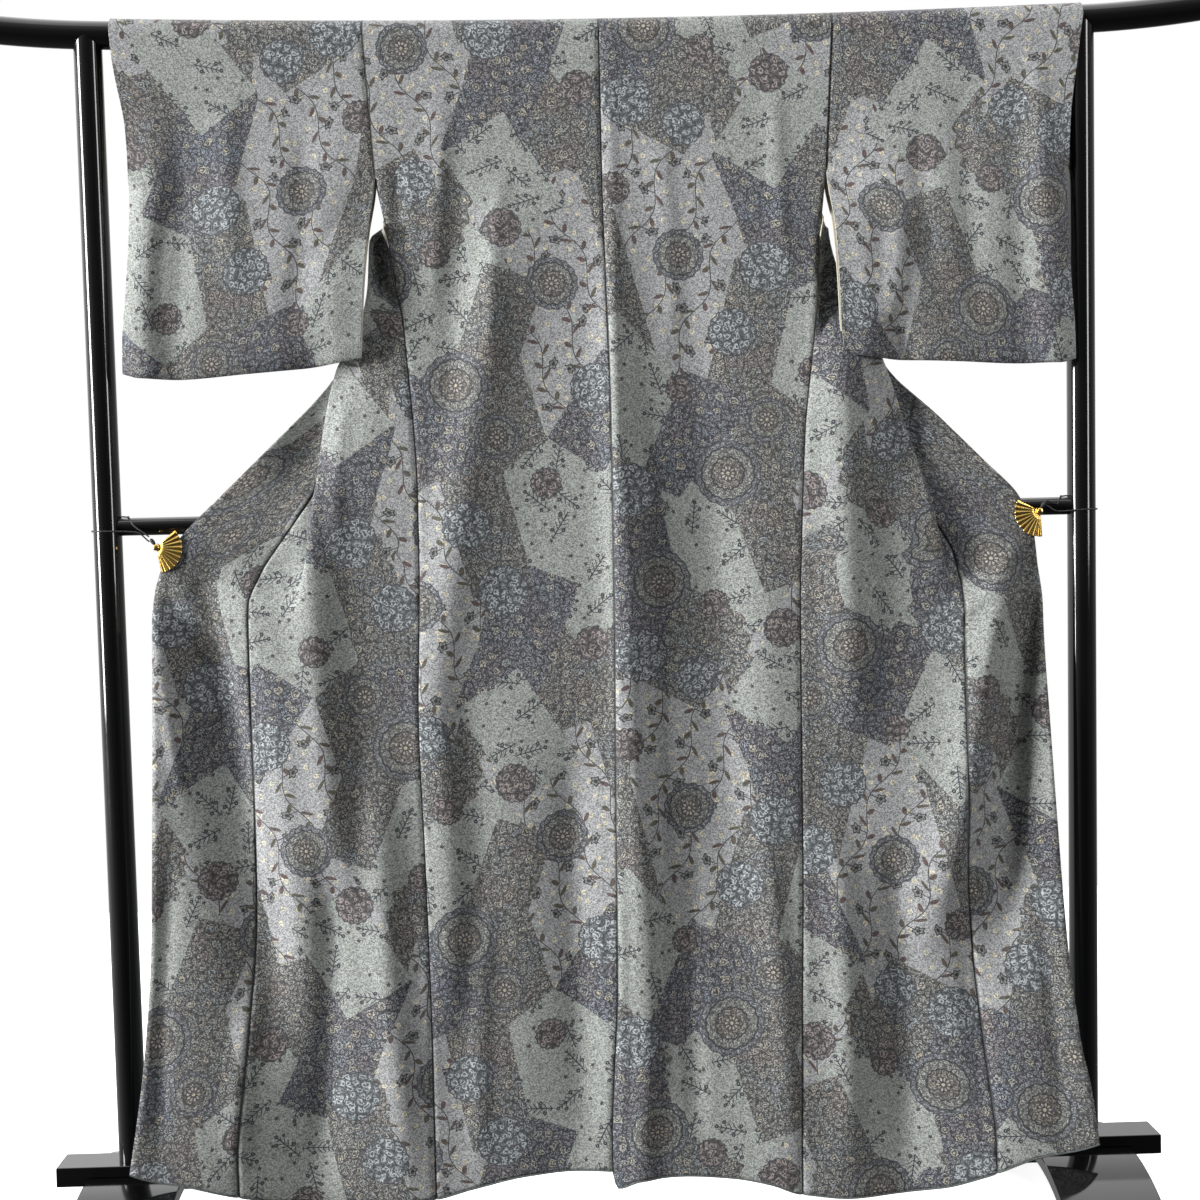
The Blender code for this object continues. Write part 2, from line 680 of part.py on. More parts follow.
def make_collar(material):
    """The folded band: along one front's edge, round the back of the neck and down the other."""
    centre = read(CENTRE_COLUMNS, CENTRE, "x", BAR_MIDDLE)
    height, out = (COLLAR_COLUMNS.index(name) for name in ("height", "out"))
    seam = [(-row[out], row[height]) for row in COLLAR[-1]]
    top = BAR_MIDDLE + CLOTH_RADIUS * math.sin(math.radians(135.0)) - 0.003
    for side in (-1, 1):
        for share in spread(1.0, 0.0, 4)[::-side]:
            angle = math.radians(NECK_TURN) * share
            seam.append((centre + side * (NECK_FLAT + NECK_CURVE * math.sin(angle)),
                         top - NECK_CURVE * (1.0 - math.cos(angle))))
    seam += [(row[out], row[height]) for row in reversed(COLLAR[1])]

    lengths = [0.0]
    for one, two in zip(seam, seam[1:]):
        lengths.append(lengths[-1] + math.dist(one, two))
    rows = [(length, x, z) for length, (x, z) in zip(lengths, seam)]
    stations = 50
    path = [(smooth_table(rows, 1, s), smooth_table(rows, 2, s))
            for s in spread(0.0, lengths[-1], stations)]
    for _ in range(2):
        path = [path[0]] + [
            ((a[0] + 2 * b[0] + c[0]) / 4, (a[1] + 2 * b[1] + c[1]) / 4)
            for a, b, c in zip(path, path[1:], path[2:])] + [path[-1]]

    ends = {side: [(height, front_cut(side, height)[-1][1])
                   for height in (BAR_MIDDLE, *front_heights(side), *SEAM_HEIGHTS)]
            for side in (-1, 1)}

    def behind(x, z):
        return cloth_y(x, z, smooth_table(ends[-1 if x < centre else 1], 1, z)) + COLLAR_BEHIND

    sheet = Sheet()
    last = None
    radius = COLLAR_LAYERS / 2
    flat = COLLAR_FOLDED - radius
    section = [(0.0015, 0.0), (flat * 0.5, 0.0), (flat, 0.0)]
    for degrees in (45.0, 90.0, 135.0):
        angle = math.radians(degrees)
        section.append((flat + radius * math.sin(angle), radius - radius * math.cos(angle)))
    section += [(flat, 2 * radius), (flat * 0.5, 2 * radius), (0.0015, 2 * radius)]
    for k, (x, z) in enumerate(path):
        before, after = path[max(k - 1, 0)], path[min(k + 1, stations - 1)]
        length = math.dist(before, after)
        across = ((after[1] - before[1]) / length, -(after[0] - before[0]) / length)
        points = []
        for reach, depth in section:
            px, pz = x + across[0] * reach, z + across[1] * reach
            points.append((px, behind(px, pz) + depth, pz))
        new = sheet.row(points)
        if last:
            sheet.bridge(last, new)
        last = new
    return sheet.to_object("collar", material, wall=COLLAR_WALL)


# The stand

def finish_mesh(name, work, material):
    """Turns a bmesh into a named object."""
    work.normal_update()
    bmesh.ops.recalc_face_normals(work, faces=work.faces)
    mesh = bpy.data.meshes.new(name)
    work.to_mesh(mesh)
    work.free()
    mesh.shade_smooth()
    mesh.set_sharp_from_angle(angle=SHARP_ANGLE)
    mesh.materials.append(material)
    piece = bpy.data.objects.new(name, mesh)
    bpy.context.scene.collection.objects.link(piece)
    return piece


def soften_edges(piece, width):
    soften = piece.modifiers.new("edges", 'BEVEL')
    soften.width = width
    soften.segments = 1
    soften.limit_method = 'ANGLE'
    soften.angle_limit = SHARP_ANGLE


def make_tube(name, points, radius, material, fit=None, sides=24):
    """A round bar along a line of points in the XZ plane, closed at both ends.

    fit takes a point of an end ring and gives its place against what the end meets.
    """
    rings = []
    work = bmesh.new()
    for k, (x, z) in enumerate(points):
        before, after = points[max(k - 1, 0)], points[min(k + 1, len(points) - 1)]
        length = math.dist(before, after)
        across = (-(after[1] - before[1]) / length, (after[0] - before[0]) / length)
        ring = []
        for n in range(sides):
            angle = 2 * math.pi * n / sides
            reach = radius * math.cos(angle)
            place = (x + across[0] * reach, radius * math.sin(angle), z + across[1] * reach)
            if fit and k in (0, len(points) - 1):
                place = fit(*place)
            ring.append(work.verts.new(place))
        rings.append(ring)
    for one, two in zip(rings, rings[1:]):
        for n in range(sides):
            work.faces.new((one[n], one[(n + 1) % sides], two[(n + 1) % sides], two[n]))
    for ring in (rings[0], rings[-1]):
        close_end(work, ring)
    return finish_mesh(name, work, material)


def close_end(work, ring):
    """Strips between the two points of each Y close an end ring, also where it is hollowed."""
    sides = len(ring)
    quarter = sides // 4
    for n in range(-quarter, quarter):
        one, two = n % sides, (n + 1) % sides
        far_one, far_two = (sides // 2 - n) % sides, (sides // 2 - n - 1) % sides
        corners = []
        for k in (one, two, far_two, far_one):
            if ring[k] not in corners:
                corners.append(ring[k])
        work.faces.new(corners)


def make_block(name, outline, depth, middle_x, material):
    """A solid whose outline (x, z) runs along Y."""
    work = bmesh.new()
    face = work.faces.new([work.verts.new((x, -depth / 2, z)) for x, z in outline])
    body = bmesh.ops.extrude_face_region(work, geom=[face])
    moved = [item for item in body["geom"] if isinstance(item, bmesh.types.BMVert)]
    bmesh.ops.translate(work, verts=moved, vec=(0.0, depth, 0.0))
    block = finish_mesh(name, work, material)
    block.location = (middle_x, 0.0, 0.0)
    soften_edges(block, BLOCK_ROUNDING)


def post_x(height):
    share = (height - BLOCK_TOP) / (BAR_MIDDLE - BLOCK_TOP)
    return POST_FOOT_X + (POST_TOP_X - POST_FOOT_X) * share


def make_stand(lacquer):
    stations = [0.0, 0.22, 0.44, 0.665, 0.73, 0.80, BAR_HALF]
    xs = [-x for x in reversed(stations[1:])] + stations
    make_tube("top_bar", [(x, bar_height(x)) for x in xs], BAR_RADIUS, lacquer)

    def against_bar(x, y, z):
        if z < RAIL_HEIGHT:
            return x, y, BLOCK_TOP + TOUCH
        return x, y, bar_height(x) - math.sqrt((BAR_RADIUS + TOUCH) ** 2 - y * y)

    def against_post(x, y, z):
        hollow = math.sqrt((POST_RADIUS + TOUCH) ** 2 - y * y)
        return math.copysign(post_x(z) - hollow, x), y, z

    for side, word in ((-1, "left"), (1, "right")):
        foot = (side * POST_FOOT_X, BLOCK_TOP + TOUCH)
        head = (side * POST_TOP_X, bar_height(POST_TOP_X))
        make_tube("post_" + word, [foot, head], POST_RADIUS, lacquer, fit=against_bar)
    rail_x = post_x(RAIL_HEIGHT)
    make_tube("rail", [(-rail_x, RAIL_HEIGHT), (rail_x, RAIL_HEIGHT)], RAIL_RADIUS, lacquer,
              fit=against_post)

    for side, word in ((-1, "left"), (1, "right")):
        half = BLOCK_LENGTH / 2
        low = BLOCK_TOP - BLOCK_HEIGHT
        slot = BOARD_WIDTH / 2 + TOUCH
        shift = side * (BOARD_X - BLOCK_X)
        seat = BOARD_TOP + TOUCH
        outline = [(-half, low), (-half, BLOCK_TOP), (half, BLOCK_TOP), (half, low),
                   (shift + slot, low), (shift + slot, seat), (shift - slot, seat),
                   (shift - slot, low)]
        make_block("block_" + word, outline, BLOCK_DEPTH, side * BLOCK_X, lacquer)
        make_board("foot_" + word, side * BOARD_X, lacquer)


def make_board(name, middle_x, material):
    """The arched foot: a curved band, level under the block and cut level at the floor."""
    level = BLOCK_DEPTH / 2
    reach = BOARD_REACH - level
    radius = (reach ** 2 + BOARD_TOP ** 2) / (2 * BOARD_TOP)
    inner = radius - BOARD_THICKNESS

    def arc(size, steps):
        """Half an arc from the level middle out to the floor."""
        end = math.acos((radius - BOARD_TOP) / size)
        return [(level + size * math.sin(end * k / steps), BOARD_TOP - radius + size
                 * math.cos(end * k / steps)) for k in range(steps + 1)]

    outside, inside = arc(radius, 14), arc(inner, 14)
    profile = outside + list(reversed(inside))
    profile += [(-y, z) for y, z in inside] + [(-y, z) for y, z in reversed(outside)]
    work = bmesh.new()
    half = BOARD_WIDTH / 2
    left = [work.verts.new((-half, y, z)) for y, z in profile]
    right = [work.verts.new((half, y, z)) for y, z in profile]
    count = len(profile)
    for k in range(count):
        nearby = (k + 1) % count
        work.faces.new((left[k], left[nearby], right[nearby], right[k]))
    for ring in (left, right):
        quarter = len(outside)
        for k in range(quarter - 1):
            work.faces.new((ring[k], ring[k + 1], ring[2 * quarter - 2 - k], ring[2 * quarter - 1 - k]))
            far = 2 * quarter
            work.faces.new((ring[far + k], ring[far + k + 1], ring[count - 2 - k], ring[count - 1 - k]))
        work.faces.new((ring[0], ring[2 * quarter - 1], ring[2 * quarter], ring[count - 1]))
    board = finish_mesh(name, work, material)
    board.location = (middle_x, 0.0, 0.0)
    soften_edges(board, BOARD_ROUNDING)


# The clips

def fan_y(side, z):
    """The fan is flat: it leans with the cloth from its top to its foot."""
    pivot_x, pivot_z = FAN_PIVOT[side]
    low, high = pivot_z - FAN_OUTER, pivot_z + 0.6 * FAN_OUTER
    low_y, high_y = (cloth_y(pivot_x, height, front_cut(side, height)[-1][1])
                     for height in (low, high))
    return low_y + (high_y - low_y) * (z - low) / (high - low) - FAN_STANDS_OFF


def make_fan(side, word, gold):
    pivot_x, pivot_z = FAN_PIVOT[side]
    sheet = Sheet()
    last = None
    for reach in (PIN_RADIUS + TOUCH, FAN_INNER, FAN_OUTER):
        points = []
        for k in range(2 * FAN_RIBS + 1):
            angle = math.radians(FAN_START[side] + FAN_SPAN[side] * k / (2 * FAN_RIBS))
            rise = FAN_RIDGE * (reach / FAN_OUTER) * (1 if k % 2 else -1) / 2
            z = pivot_z + reach * math.sin(angle)
            points.append((pivot_x + reach * math.cos(angle), fan_y(side, z) - rise, z))
        new = sheet.row(points)
        if last:
            sheet.bridge(last, new)
        last = new
    sheet.to_object("fan_" + word, gold, wall=FAN_THICKNESS)


def make_pin(side, word, gold):
    """The pin that the fan turns on, with a low round head towards the viewer."""
    pivot_x, pivot_z = FAN_PIVOT[side]
    middle = fan_y(side, pivot_z)
    profile = [(share, middle + away) for share, away in PIN_HEAD] + [(1.0, JAW_FRONT - TOUCH)]
    work = bmesh.new()
    rings = []
    for share, y in profile:
        ring = []
        for n in range(ROUND_SIDES):
            angle = 2 * math.pi * n / ROUND_SIDES
            ring.append(work.verts.new((pivot_x + share * PIN_RADIUS * math.cos(angle), y,
                                        pivot_z + share * PIN_RADIUS * math.sin(angle))))
        rings.append(ring)
    for one, two in zip(rings, rings[1:]):
        for n in range(ROUND_SIDES):
            nearby = (n + 1) % ROUND_SIDES
            work.faces.new((one[n], one[nearby], two[nearby], two[n]))
    work.faces.new(rings[0])
    work.faces.new(rings[-1])
    finish_mesh("clip_pin_" + word, work, gold)


def make_jaw(side, word, gold):
    """The flat jaw behind the collar: a strip with round ends, from the pin inwards."""
    pivot_x, pivot_z = FAN_PIVOT[side]
    angle = math.radians(FAN_START[side] + FAN_SPAN[side] / 2)
    outline = []
    for end, start in ((JAW_LENGTH - JAW_WIDTH / 2, -90.0), (0.0, 90.0)):
        for step in range(7):
            turn = math.radians(start + 30.0 * step)
            outline.append((end + JAW_WIDTH / 2 * math.cos(turn), JAW_WIDTH / 2 * math.sin(turn)))
    work = bmesh.new()
    rings = []
    for y in (JAW_FRONT, JAW_BACK):
        rings.append([work.verts.new((pivot_x + a * math.cos(angle) - b * math.sin(angle), y,
                                      pivot_z + a * math.sin(angle) + b * math.cos(angle)))
                      for a, b in outline])
    count = len(outline)
    for n in range(count):
        work.faces.new((rings[0][n], rings[0][(n + 1) % count], rings[1][(n + 1) % count],
                        rings[1][n]))
    for ring in rings:
        work.faces.new(ring)
    finish_mesh("clip_jaw_" + word, work, gold)


def knot_place(side):
    """Middle of the knot: just off the pin, behind the fan."""
    pivot_x, pivot_z = FAN_PIVOT[side]
    direction = math.radians(KNOT_DIRECTION[side])
    reach = PIN_RADIUS + TOUCH + KNOT_HALF[0]
    y = (fan_y(side, pivot_z) + JAW_FRONT) / 2
    return pivot_x + reach * math.cos(direction), y, pivot_z + reach * math.sin(direction)


def make_knot(side, word, cord):
    x, y, z = knot_place(side)
    direction = math.radians(KNOT_DIRECTION[side])
    work = bmesh.new()
    bmesh.ops.create_uvsphere(work, u_segments=12, v_segments=8, radius=1.0)
    for vert in work.verts:
        across, depth, along = vert.co
        along *= KNOT_HALF[0]
        across *= KNOT_HALF[1]
        vert.co = (x + along * math.cos(direction) - across * math.sin(direction),
                   y + depth * KNOT_HALF[1],
                   z + along * math.sin(direction) + across * math.cos(direction))
    finish_mesh("cord_knot_" + word, work, cord)


def make_cord(side, word, cord):
    """From the knot to the post, once round it, over the rail and back down to the knot."""
    x, y, z = knot_place(side)
    ring_z = RAIL_HEIGHT - RAIL_RADIUS / 2 + CORD_GAP
    ring = POST_RADIUS + 1.8 * CORD_RADIUS
    round_rail = RAIL_RADIUS + 2.0 * CORD_RADIUS
    over = RAIL_HEIGHT + round_rail
    centre = side * post_x(RAIL_HEIGHT)
    leave = KNOT_HALF[1] + 1.6 * CORD_RADIUS
    route = [(x + side * leave, y, z),
             (x + side * (leave + CORD_STRAIGHT), y - CORD_GAP, ring_z - 2.0 * CORD_RADIUS)]
    for degrees in range(-90, 121, 30):
        angle = math.radians(degrees)
        climb = ease(-10.0, 120.0, degrees) * (over - ring_z)
        route.append((centre + side * ring * math.cos(angle), ring * math.sin(angle),
                      ring_z + climb))
    beside_post = side * (post_x(over) - POST_RADIUS)
    for degrees, away in CORD_BACK:
        angle = math.radians(degrees)
        route.append((beside_post - side * away, -round_rail * math.sin(angle),
                      RAIL_HEIGHT + round_rail * math.cos(angle)))
    route.append((x + side * leave, y - CORD_GAP, z + leave + KNOT_TOP))
    curve = bpy.data.curves.new("clip_cord_" + word, 'CURVE')
    curve.dimensions = '3D'
    curve.bevel_depth = CORD_RADIUS
    curve.bevel_resolution = 2
    curve.use_fill_caps = True
    places = [(k, *place) for k, place in enumerate(route)]
    samples = CORD_STEPS * (len(route) - 1) + 1
    line = curve.splines.new('POLY')
    line.points.add(samples - 1)
    for k in range(samples):
        at = k / CORD_STEPS
        line.points[k].co = (*(smooth_table(places, column, at) for column in (1, 2, 3)), 1.0)
    curve.materials.append(cord)
    piece = bpy.data.objects.new("clip_cord_" + word, curve)
    bpy.context.scene.collection.objects.link(piece)


def make_clip(side, gold, cord):
    word = "left" if side < 0 else "right"
    make_fan(side, word, gold)
    make_pin(side, word, gold)
    make_jaw(side, word, gold)
    make_knot(side, word, cord)
    make_cord(side, word, cord)


def make_material(name, colour, roughness, metallic=0.0, coat=0.0):
    material = bpy.data.materials.new(name)
    material.use_nodes = True
    shader = material.node_tree.nodes["Principled BSDF"]
    shader.inputs["Base Color"].default_value = (*colour, 1.0)
    shader.inputs["Roughness"].default_value = roughness
    shader.inputs["Metallic"].default_value = metallic
    shader.inputs["Coat Weight"].default_value = coat
    return material


def main():
    for item in list(bpy.data.objects):
        bpy.data.objects.remove(item, do_unlink=True)
    crepe = make_material("grey_green_crepe", (0.27, 0.30, 0.29), 0.85)
    lacquer = make_material("black_lacquer", (0.010, 0.010, 0.011), 0.18, coat=1.0)
    gold = make_material("gold_plate", (0.85, 0.62, 0.25), 0.28, metallic=1.0)
    cord = make_material("black_cord", (0.012, 0.012, 0.013), 0.70)
    make_stand(lacquer)
    for side in (-1, 1):
        make_body(side, crepe)
        make_okumi(side, crepe)
        make_sleeve(side, crepe)
        make_clip(side, gold, cord)
    make_collar(crepe)


main()
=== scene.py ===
# %% [markdown]
# # A kimono on a lacquered stand
#
# A kimono is sewn from one narrow bolt of silk, so it is a handful of straight panels: two body
# lengths, two sleeves, two gores called okumi and one long collar. Shown from behind, it hangs over
# a round bar that runs through both sleeves, and its fronts are drawn out to the sides.
#
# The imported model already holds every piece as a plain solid. This lesson keeps those places and
# makes the fine surfaces: thin printed silk, black lacquer, two gilt fan clips and their cords.

import math
from functools import partial

import bmesh
import bpy
import numpy as np
from mathutils import Matrix, Vector


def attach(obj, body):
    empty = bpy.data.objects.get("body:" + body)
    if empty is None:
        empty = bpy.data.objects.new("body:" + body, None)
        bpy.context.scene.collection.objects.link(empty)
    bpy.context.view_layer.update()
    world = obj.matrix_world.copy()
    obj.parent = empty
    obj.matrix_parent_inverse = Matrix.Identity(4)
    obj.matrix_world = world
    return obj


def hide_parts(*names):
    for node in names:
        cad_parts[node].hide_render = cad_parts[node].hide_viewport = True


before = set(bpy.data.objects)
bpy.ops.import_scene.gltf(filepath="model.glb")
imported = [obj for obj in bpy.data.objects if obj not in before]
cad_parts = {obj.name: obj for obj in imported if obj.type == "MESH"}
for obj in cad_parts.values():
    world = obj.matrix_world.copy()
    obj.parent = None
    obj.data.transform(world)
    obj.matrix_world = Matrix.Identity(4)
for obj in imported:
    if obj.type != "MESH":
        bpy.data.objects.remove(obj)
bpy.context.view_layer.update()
scene = bpy.context.scene
print("nodes in the frame:", len(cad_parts))

# %% [markdown]
# ## The camera
#
# A straight photograph of a tall garment takes a long lens and a camera at half its height. The
# angles below turn the view the way the photograph does: almost square on, tipped down by two
# degrees and rolled by one. The colours are painted as hex values, so the view transform is the
# plain one, which shows a white floor as white.

# %% Camera
CAMERA_PLACE = (-0.063, -2.5936, 0.9823)
CAMERA_YAW = 1.409          # degrees to the right
CAMERA_PITCH = 2.235        # degrees down
CAMERA_ROLL = 1.299         # degrees, which lift the right side of the picture
FOCAL_PIXELS = 1914.6
PICTURE_PIXELS = 1200
SENSOR_MM = 36.0


def add_object(name, data, *materials):
    """A named object in the scene, made of a mesh, a curve, a light or a camera."""
    piece = bpy.data.objects.new(name, data)
    scene.collection.objects.link(piece)
    for material in materials:
        data.materials.append(material)
    return piece


yaw, pitch, roll = (math.radians(angle) for angle in (CAMERA_YAW, CAMERA_PITCH, CAMERA_ROLL))
ahead = Vector((math.sin(yaw) * math.cos(pitch), math.cos(yaw) * math.cos(pitch), -math.sin(pitch)))
level = Vector((math.cos(yaw), -math.sin(yaw), 0.0))
plumb = level.cross(ahead)
to_right = level * math.cos(roll) - plumb * math.sin(roll)
to_top = level * math.sin(roll) + plumb * math.cos(roll)
lens = bpy.data.cameras.new("photo_camera")
lens.sensor_width = SENSOR_MM
lens.lens = FOCAL_PIXELS / PICTURE_PIXELS * SENSOR_MM
camera = add_object("photo_camera", lens)
axes = Matrix((to_right, to_top, -ahead)).transposed().to_4x4()
camera.matrix_world = Matrix.Translation(CAMERA_PLACE) @ axes
scene.camera = camera
scene.view_settings.view_transform = 'Standard'
print("lens:", round(lens.lens, 2), "mm")

# %% [markdown]
# ## Sizes of the garment and the stand
#
# The solids were built from a few named sizes and tables: how wide the cloth is at each height, where
# its folds turn, where its hem hangs. The fine surfaces are worked out from the same numbers, so that
# each one lies inside its solid. Distances are metres, measured outwards from the middle of the stand,
# and a side of -1 or +1 turns them into X.

# %% Cloth sizes
MM = 1000.0                 # millimetres in a metre
WALL = 0.0020               # crepe and lining together
SEAM_GAP = 0.0003           # between two pieces that are sewn together
FOLD_RADIUS = 0.0035        # of the middle of the cloth where a front is folded on itself
NECK_HALF = 0.092           # from the centre back to the neck point
NECK_CURVE = 0.100          # radius of the collar's seam as it turns round the neck
NECK_TURN = 59.0            # degrees that it turns on each side
NECK_FLAT = 0.043           # from the centre back to the start of the turn
COLLAR_FOLDED = 0.055
COLLAR_BEHIND = 0.0040      # from the front's cloth to the collar's first layer
COLLAR_LAYERS = 0.0040      # from the collar's first layer to its second
LOOM = 0.360                # width of the bolt
SILK = 0.0016               # thickness of the fine sheets, inside the wall of the solids
COLLAR_SILK = 0.0014        # and of the folded collar
SEAM_DEPTH = 0.0028         # how far a sewn edge turns in
SEAM_WIDTH = 0.0022
SLEEVE_ROUNDING = 0.020     # the closed edges of a sleeve round off over this width
LEVEL_OF_RAIL = -0.0390     # Y of the cloth where it hangs just in front of the rail
BEHIND_AT_RAIL = -0.0310    # and of the second layer there
LEANS_FORWARD = 0.008       # how far the cloth comes forward on its way down
OVER_FEET = 0.027           # and how much farther over the feet
SLEEVE_LOW_Y = -0.046       # Y of the low part of a sleeve at its inner edge
SLEEVE_LOW_TURN = 0.014     # how much farther back its mouth hangs
HEM_BEND_STARTS = 0.400     # rows below this height bend to meet the hem

# %% Stand sizes
BAR_RADIUS = 0.0190
BAR_MIDDLE = 1.639          # height of the bar's axis at the middle, where it is lowest
BAR_BOW = 0.025             # rise of the bar's axis, times the square of the distance out
BAR_FLICK = 0.30            # further rise of its ends, times the square of the distance past the post
BAR_HALF = 0.860
POST_RADIUS = 0.0190
POST_TOP_X = 0.665
POST_FOOT_X = 0.652
RAIL_RADIUS = 0.0120
RAIL_HEIGHT = 0.9946
BLOCK_X = 0.650             # middle of the saddle block that the post stands on
BLOCK_LENGTH = 0.200
BLOCK_DEPTH = 0.060
BLOCK_TOP = 0.134
BLOCK_HEIGHT = 0.0265
BOARD_X = 0.6425            # middle of the arched board under the block
BOARD_WIDTH = 0.130
BOARD_TOP = 0.1190
BOARD_THICKNESS = 0.0180
BOARD_REACH = 0.285         # from the middle of the arch to its toe on the floor
TOUCH = 0.0003              # between parts of the stand that meet

ROUND_STEP = 22.5           # degrees between the rows that go over the bar
CLOTH_RADIUS = (BAR_RADIUS + TOUCH) / math.cos(math.radians(ROUND_STEP / 2)) + WALL / 2

# %% Tables of the garment
# Heights at which the cloth changes
SIDE_SEAM_TOP = {-1: 1.360, 1: 1.362}
ARMHOLE_END = 1.450         # the sleeve is sewn to the body above this height
PLEAT_OPENS = 0.965         # the pleat of the front starts to open out here
PLEAT_GONE = 0.865          # and has gone here
TUCKED = 1.000              # below this height every layer lies in front of the rail

# The armhole's edge is straight between its end and a point above the bar. Below the side seam's top
# the back and the front share their rows, so that their sewn edges run side by side.
ARMHOLE_TOP = 1.660
SEAM_HEIGHTS = (1.265, 1.230, 1.195, 1.155, 1.115, 1.075, 1.035, 1.000, PLEAT_OPENS, 0.950, 0.935,
                0.920, 0.905, 0.890, PLEAT_GONE, 0.820, 0.740, 0.650, 0.550, 0.470, 0.400, 0.300,
                0.200, 0.120, 0.060, 0.000)

# The centre back seam leans a little as it hangs.
CENTRE_COLUMNS = ("height", "x")
CENTRE = (
    (1.66, 0.015), (1.45, 0.015), (1.15, 0.020), (0.90, 0.019), (0.60, 0.015), (0.34, 0.012),
    (0.20, 0.005), (0.08, 0.000),
)

# Level cuts through each front. edge: the side edge or side seam. run: cloth from the side seam to
# the outer fold. turn: the inner fold. end: where the okumi or the collar is sewn on.
FRONT_COLUMNS = ("height", "edge", "run", "turn", "end")
FRONT = {
    -1: (
        (1.660, 0.300, 0.004, 0.092, 0.080),
        (1.550, 0.293, 0.004, 0.108, 0.141),
        (1.450, 0.286, 0.004, 0.126, 0.198),
        (1.390, 0.275, 0.016, 0.141, 0.232),
        (1.350, 0.269, 0.026, 0.152, 0.255),
        (1.300, 0.262, 0.036, 0.182, 0.283),
        (1.260, 0.254, 0.052, 0.224, 0.301),
        (1.195, 0.249, 0.093, 0.271, 0.321),
        (1.115, 0.243, 0.118, 0.306, 0.346),
        (1.035, 0.240, 0.133, 0.336, 0.378),
        (0.975, 0.240, 0.142, 0.366, 0.420),
        (0.930, 0.240, 0.147, 0.380, 0.452),
        (0.885, 0.241, 0.150, 0.385, 0.469),
        (0.720, 0.246, 0.150, 0.385, 0.469),
        (0.520, 0.242, 0.150, 0.385, 0.471),
        (0.310, 0.239, 0.150, 0.385, 0.481),
        (0.080, 0.239, 0.150, 0.385, 0.500),
    ),
    1: (
        (1.660, 0.328, 0.004, 0.119, 0.107),
        (1.550, 0.322, 0.004, 0.138, 0.174),
        (1.450, 0.315, 0.004, 0.160, 0.235),
        (1.350, 0.304, 0.014, 0.200, 0.295),
        (1.300, 0.300, 0.034, 0.243, 0.326),
        (1.260, 0.297, 0.058, 0.276, 0.349),
        (1.173, 0.287, 0.106, 0.332, 0.372),
        (1.115, 0.280, 0.130, 0.364, 0.392),
        (1.035, 0.275, 0.160, 0.405, 0.420),
        (0.975, 0.272, 0.178, 0.432, 0.455),
        (0.930, 0.270, 0.187, 0.445, 0.480),
        (0.885, 0.268, 0.190, 0.450, 0.486),
        (0.720, 0.266, 0.190, 0.450, 0.482),
        (0.520, 0.264, 0.190, 0.450, 0.486),
        (0.310, 0.259, 0.190, 0.450, 0.498),
        (0.080, 0.255, 0.190, 0.450, 0.515),
    ),
}

# Outer edge of each okumi: the collar's seam down to the clip, and the free edge below it.
OKUMI_COLUMNS = ("height", "edge")
OKUMI = {
    -1: (
        (1.265, 0.304), (1.195, 0.345), (1.093, 0.440), (1.035, 0.500), (0.985, 0.552),
        (0.950, 0.579), (0.905, 0.594), (0.820, 0.597), (0.627, 0.602), (0.420, 0.609),
        (0.213, 0.620), (0.120, 0.628), (0.000, 0.640),
    ),
    1: (
        (1.265, 0.352), (1.196, 0.389), (1.113, 0.468), (1.060, 0.520), (1.008, 0.569),
        (0.960, 0.588), (0.905, 0.595), (0.820, 0.598), (0.627, 0.606), (0.420, 0.618),
        (0.213, 0.631), (0.120, 0.642), (0.000, 0.651),
    ),
}

# The collar's seam as (height, out), from the clip up to where it starts to turn round the neck.
COLLAR = {
    -1: (
        (0.940, 0.5805), (0.955, 0.5740), (0.985, 0.550), (1.093, 0.440), (1.195, 0.345),
        (1.300, 0.284), (1.450, 0.199), (1.550, 0.142),
    ),
    1: (
        (0.950, 0.587), (0.970, 0.583), (1.008, 0.567), (1.113, 0.467), (1.196, 0.389),
        (1.300, 0.327), (1.450, 0.236), (1.550, 0.175),
    ),
}

# Height of the hem along the whole lower edge, from the viewer's left to the right.
HEM_COLUMNS = ("x", "height")
HEM = (
    (-0.656, 0.146), (-0.606, 0.127), (-0.565, 0.119), (-0.500, 0.100), (-0.440, 0.086),
    (-0.340, 0.078), (-0.239, 0.084), (-0.186, 0.096), (-0.116, 0.110), (-0.046, 0.114),
    (-0.001, 0.113), (0.006, 0.090), (0.039, 0.101), (0.092, 0.104), (0.161, 0.099),
    (0.213, 0.090), (0.253, 0.076), (0.323, 0.069), (0.392, 0.071), (0.444, 0.078), (0.500, 0.096),
    (0.568, 0.122), (0.620, 0.131), (0.670, 0.147),
)

# Soft folds of the cloth, each along a line: top x and z, foot x and z, width to either side, and how
# far the fold stands towards the viewer, in millimetres. A negative depth is a trough.
FOLDS_MM = (
    (-90, 1480, -185, 820, 45, 7), (-190, 900, -185, 300, 50, -6), (45, 1450, 40, 90, 20, 8),
    (-60, 800, -65, 100, 45, -7), (135, 1250, 150, 300, 55, -7), (220, 1150, 225, 100, 40, 6),
    (-440, 930, -410, 400, 45, 10), (-555, 930, -485, 400, 36, -12), (530, 900, 435, 480, 40, 9),
    (570, 930, 510, 380, 36, -13), (-310, 700, -275, 100, 45, 7), (-375, 550, -390, 100, 40, -6),
    (310, 620, 315, 100, 45, 7), (395, 560, 400, 100, 40, -6), (-605, 800, -640, 100, 30, 6),
    (610, 800, 655, 100, 30, 6),
)

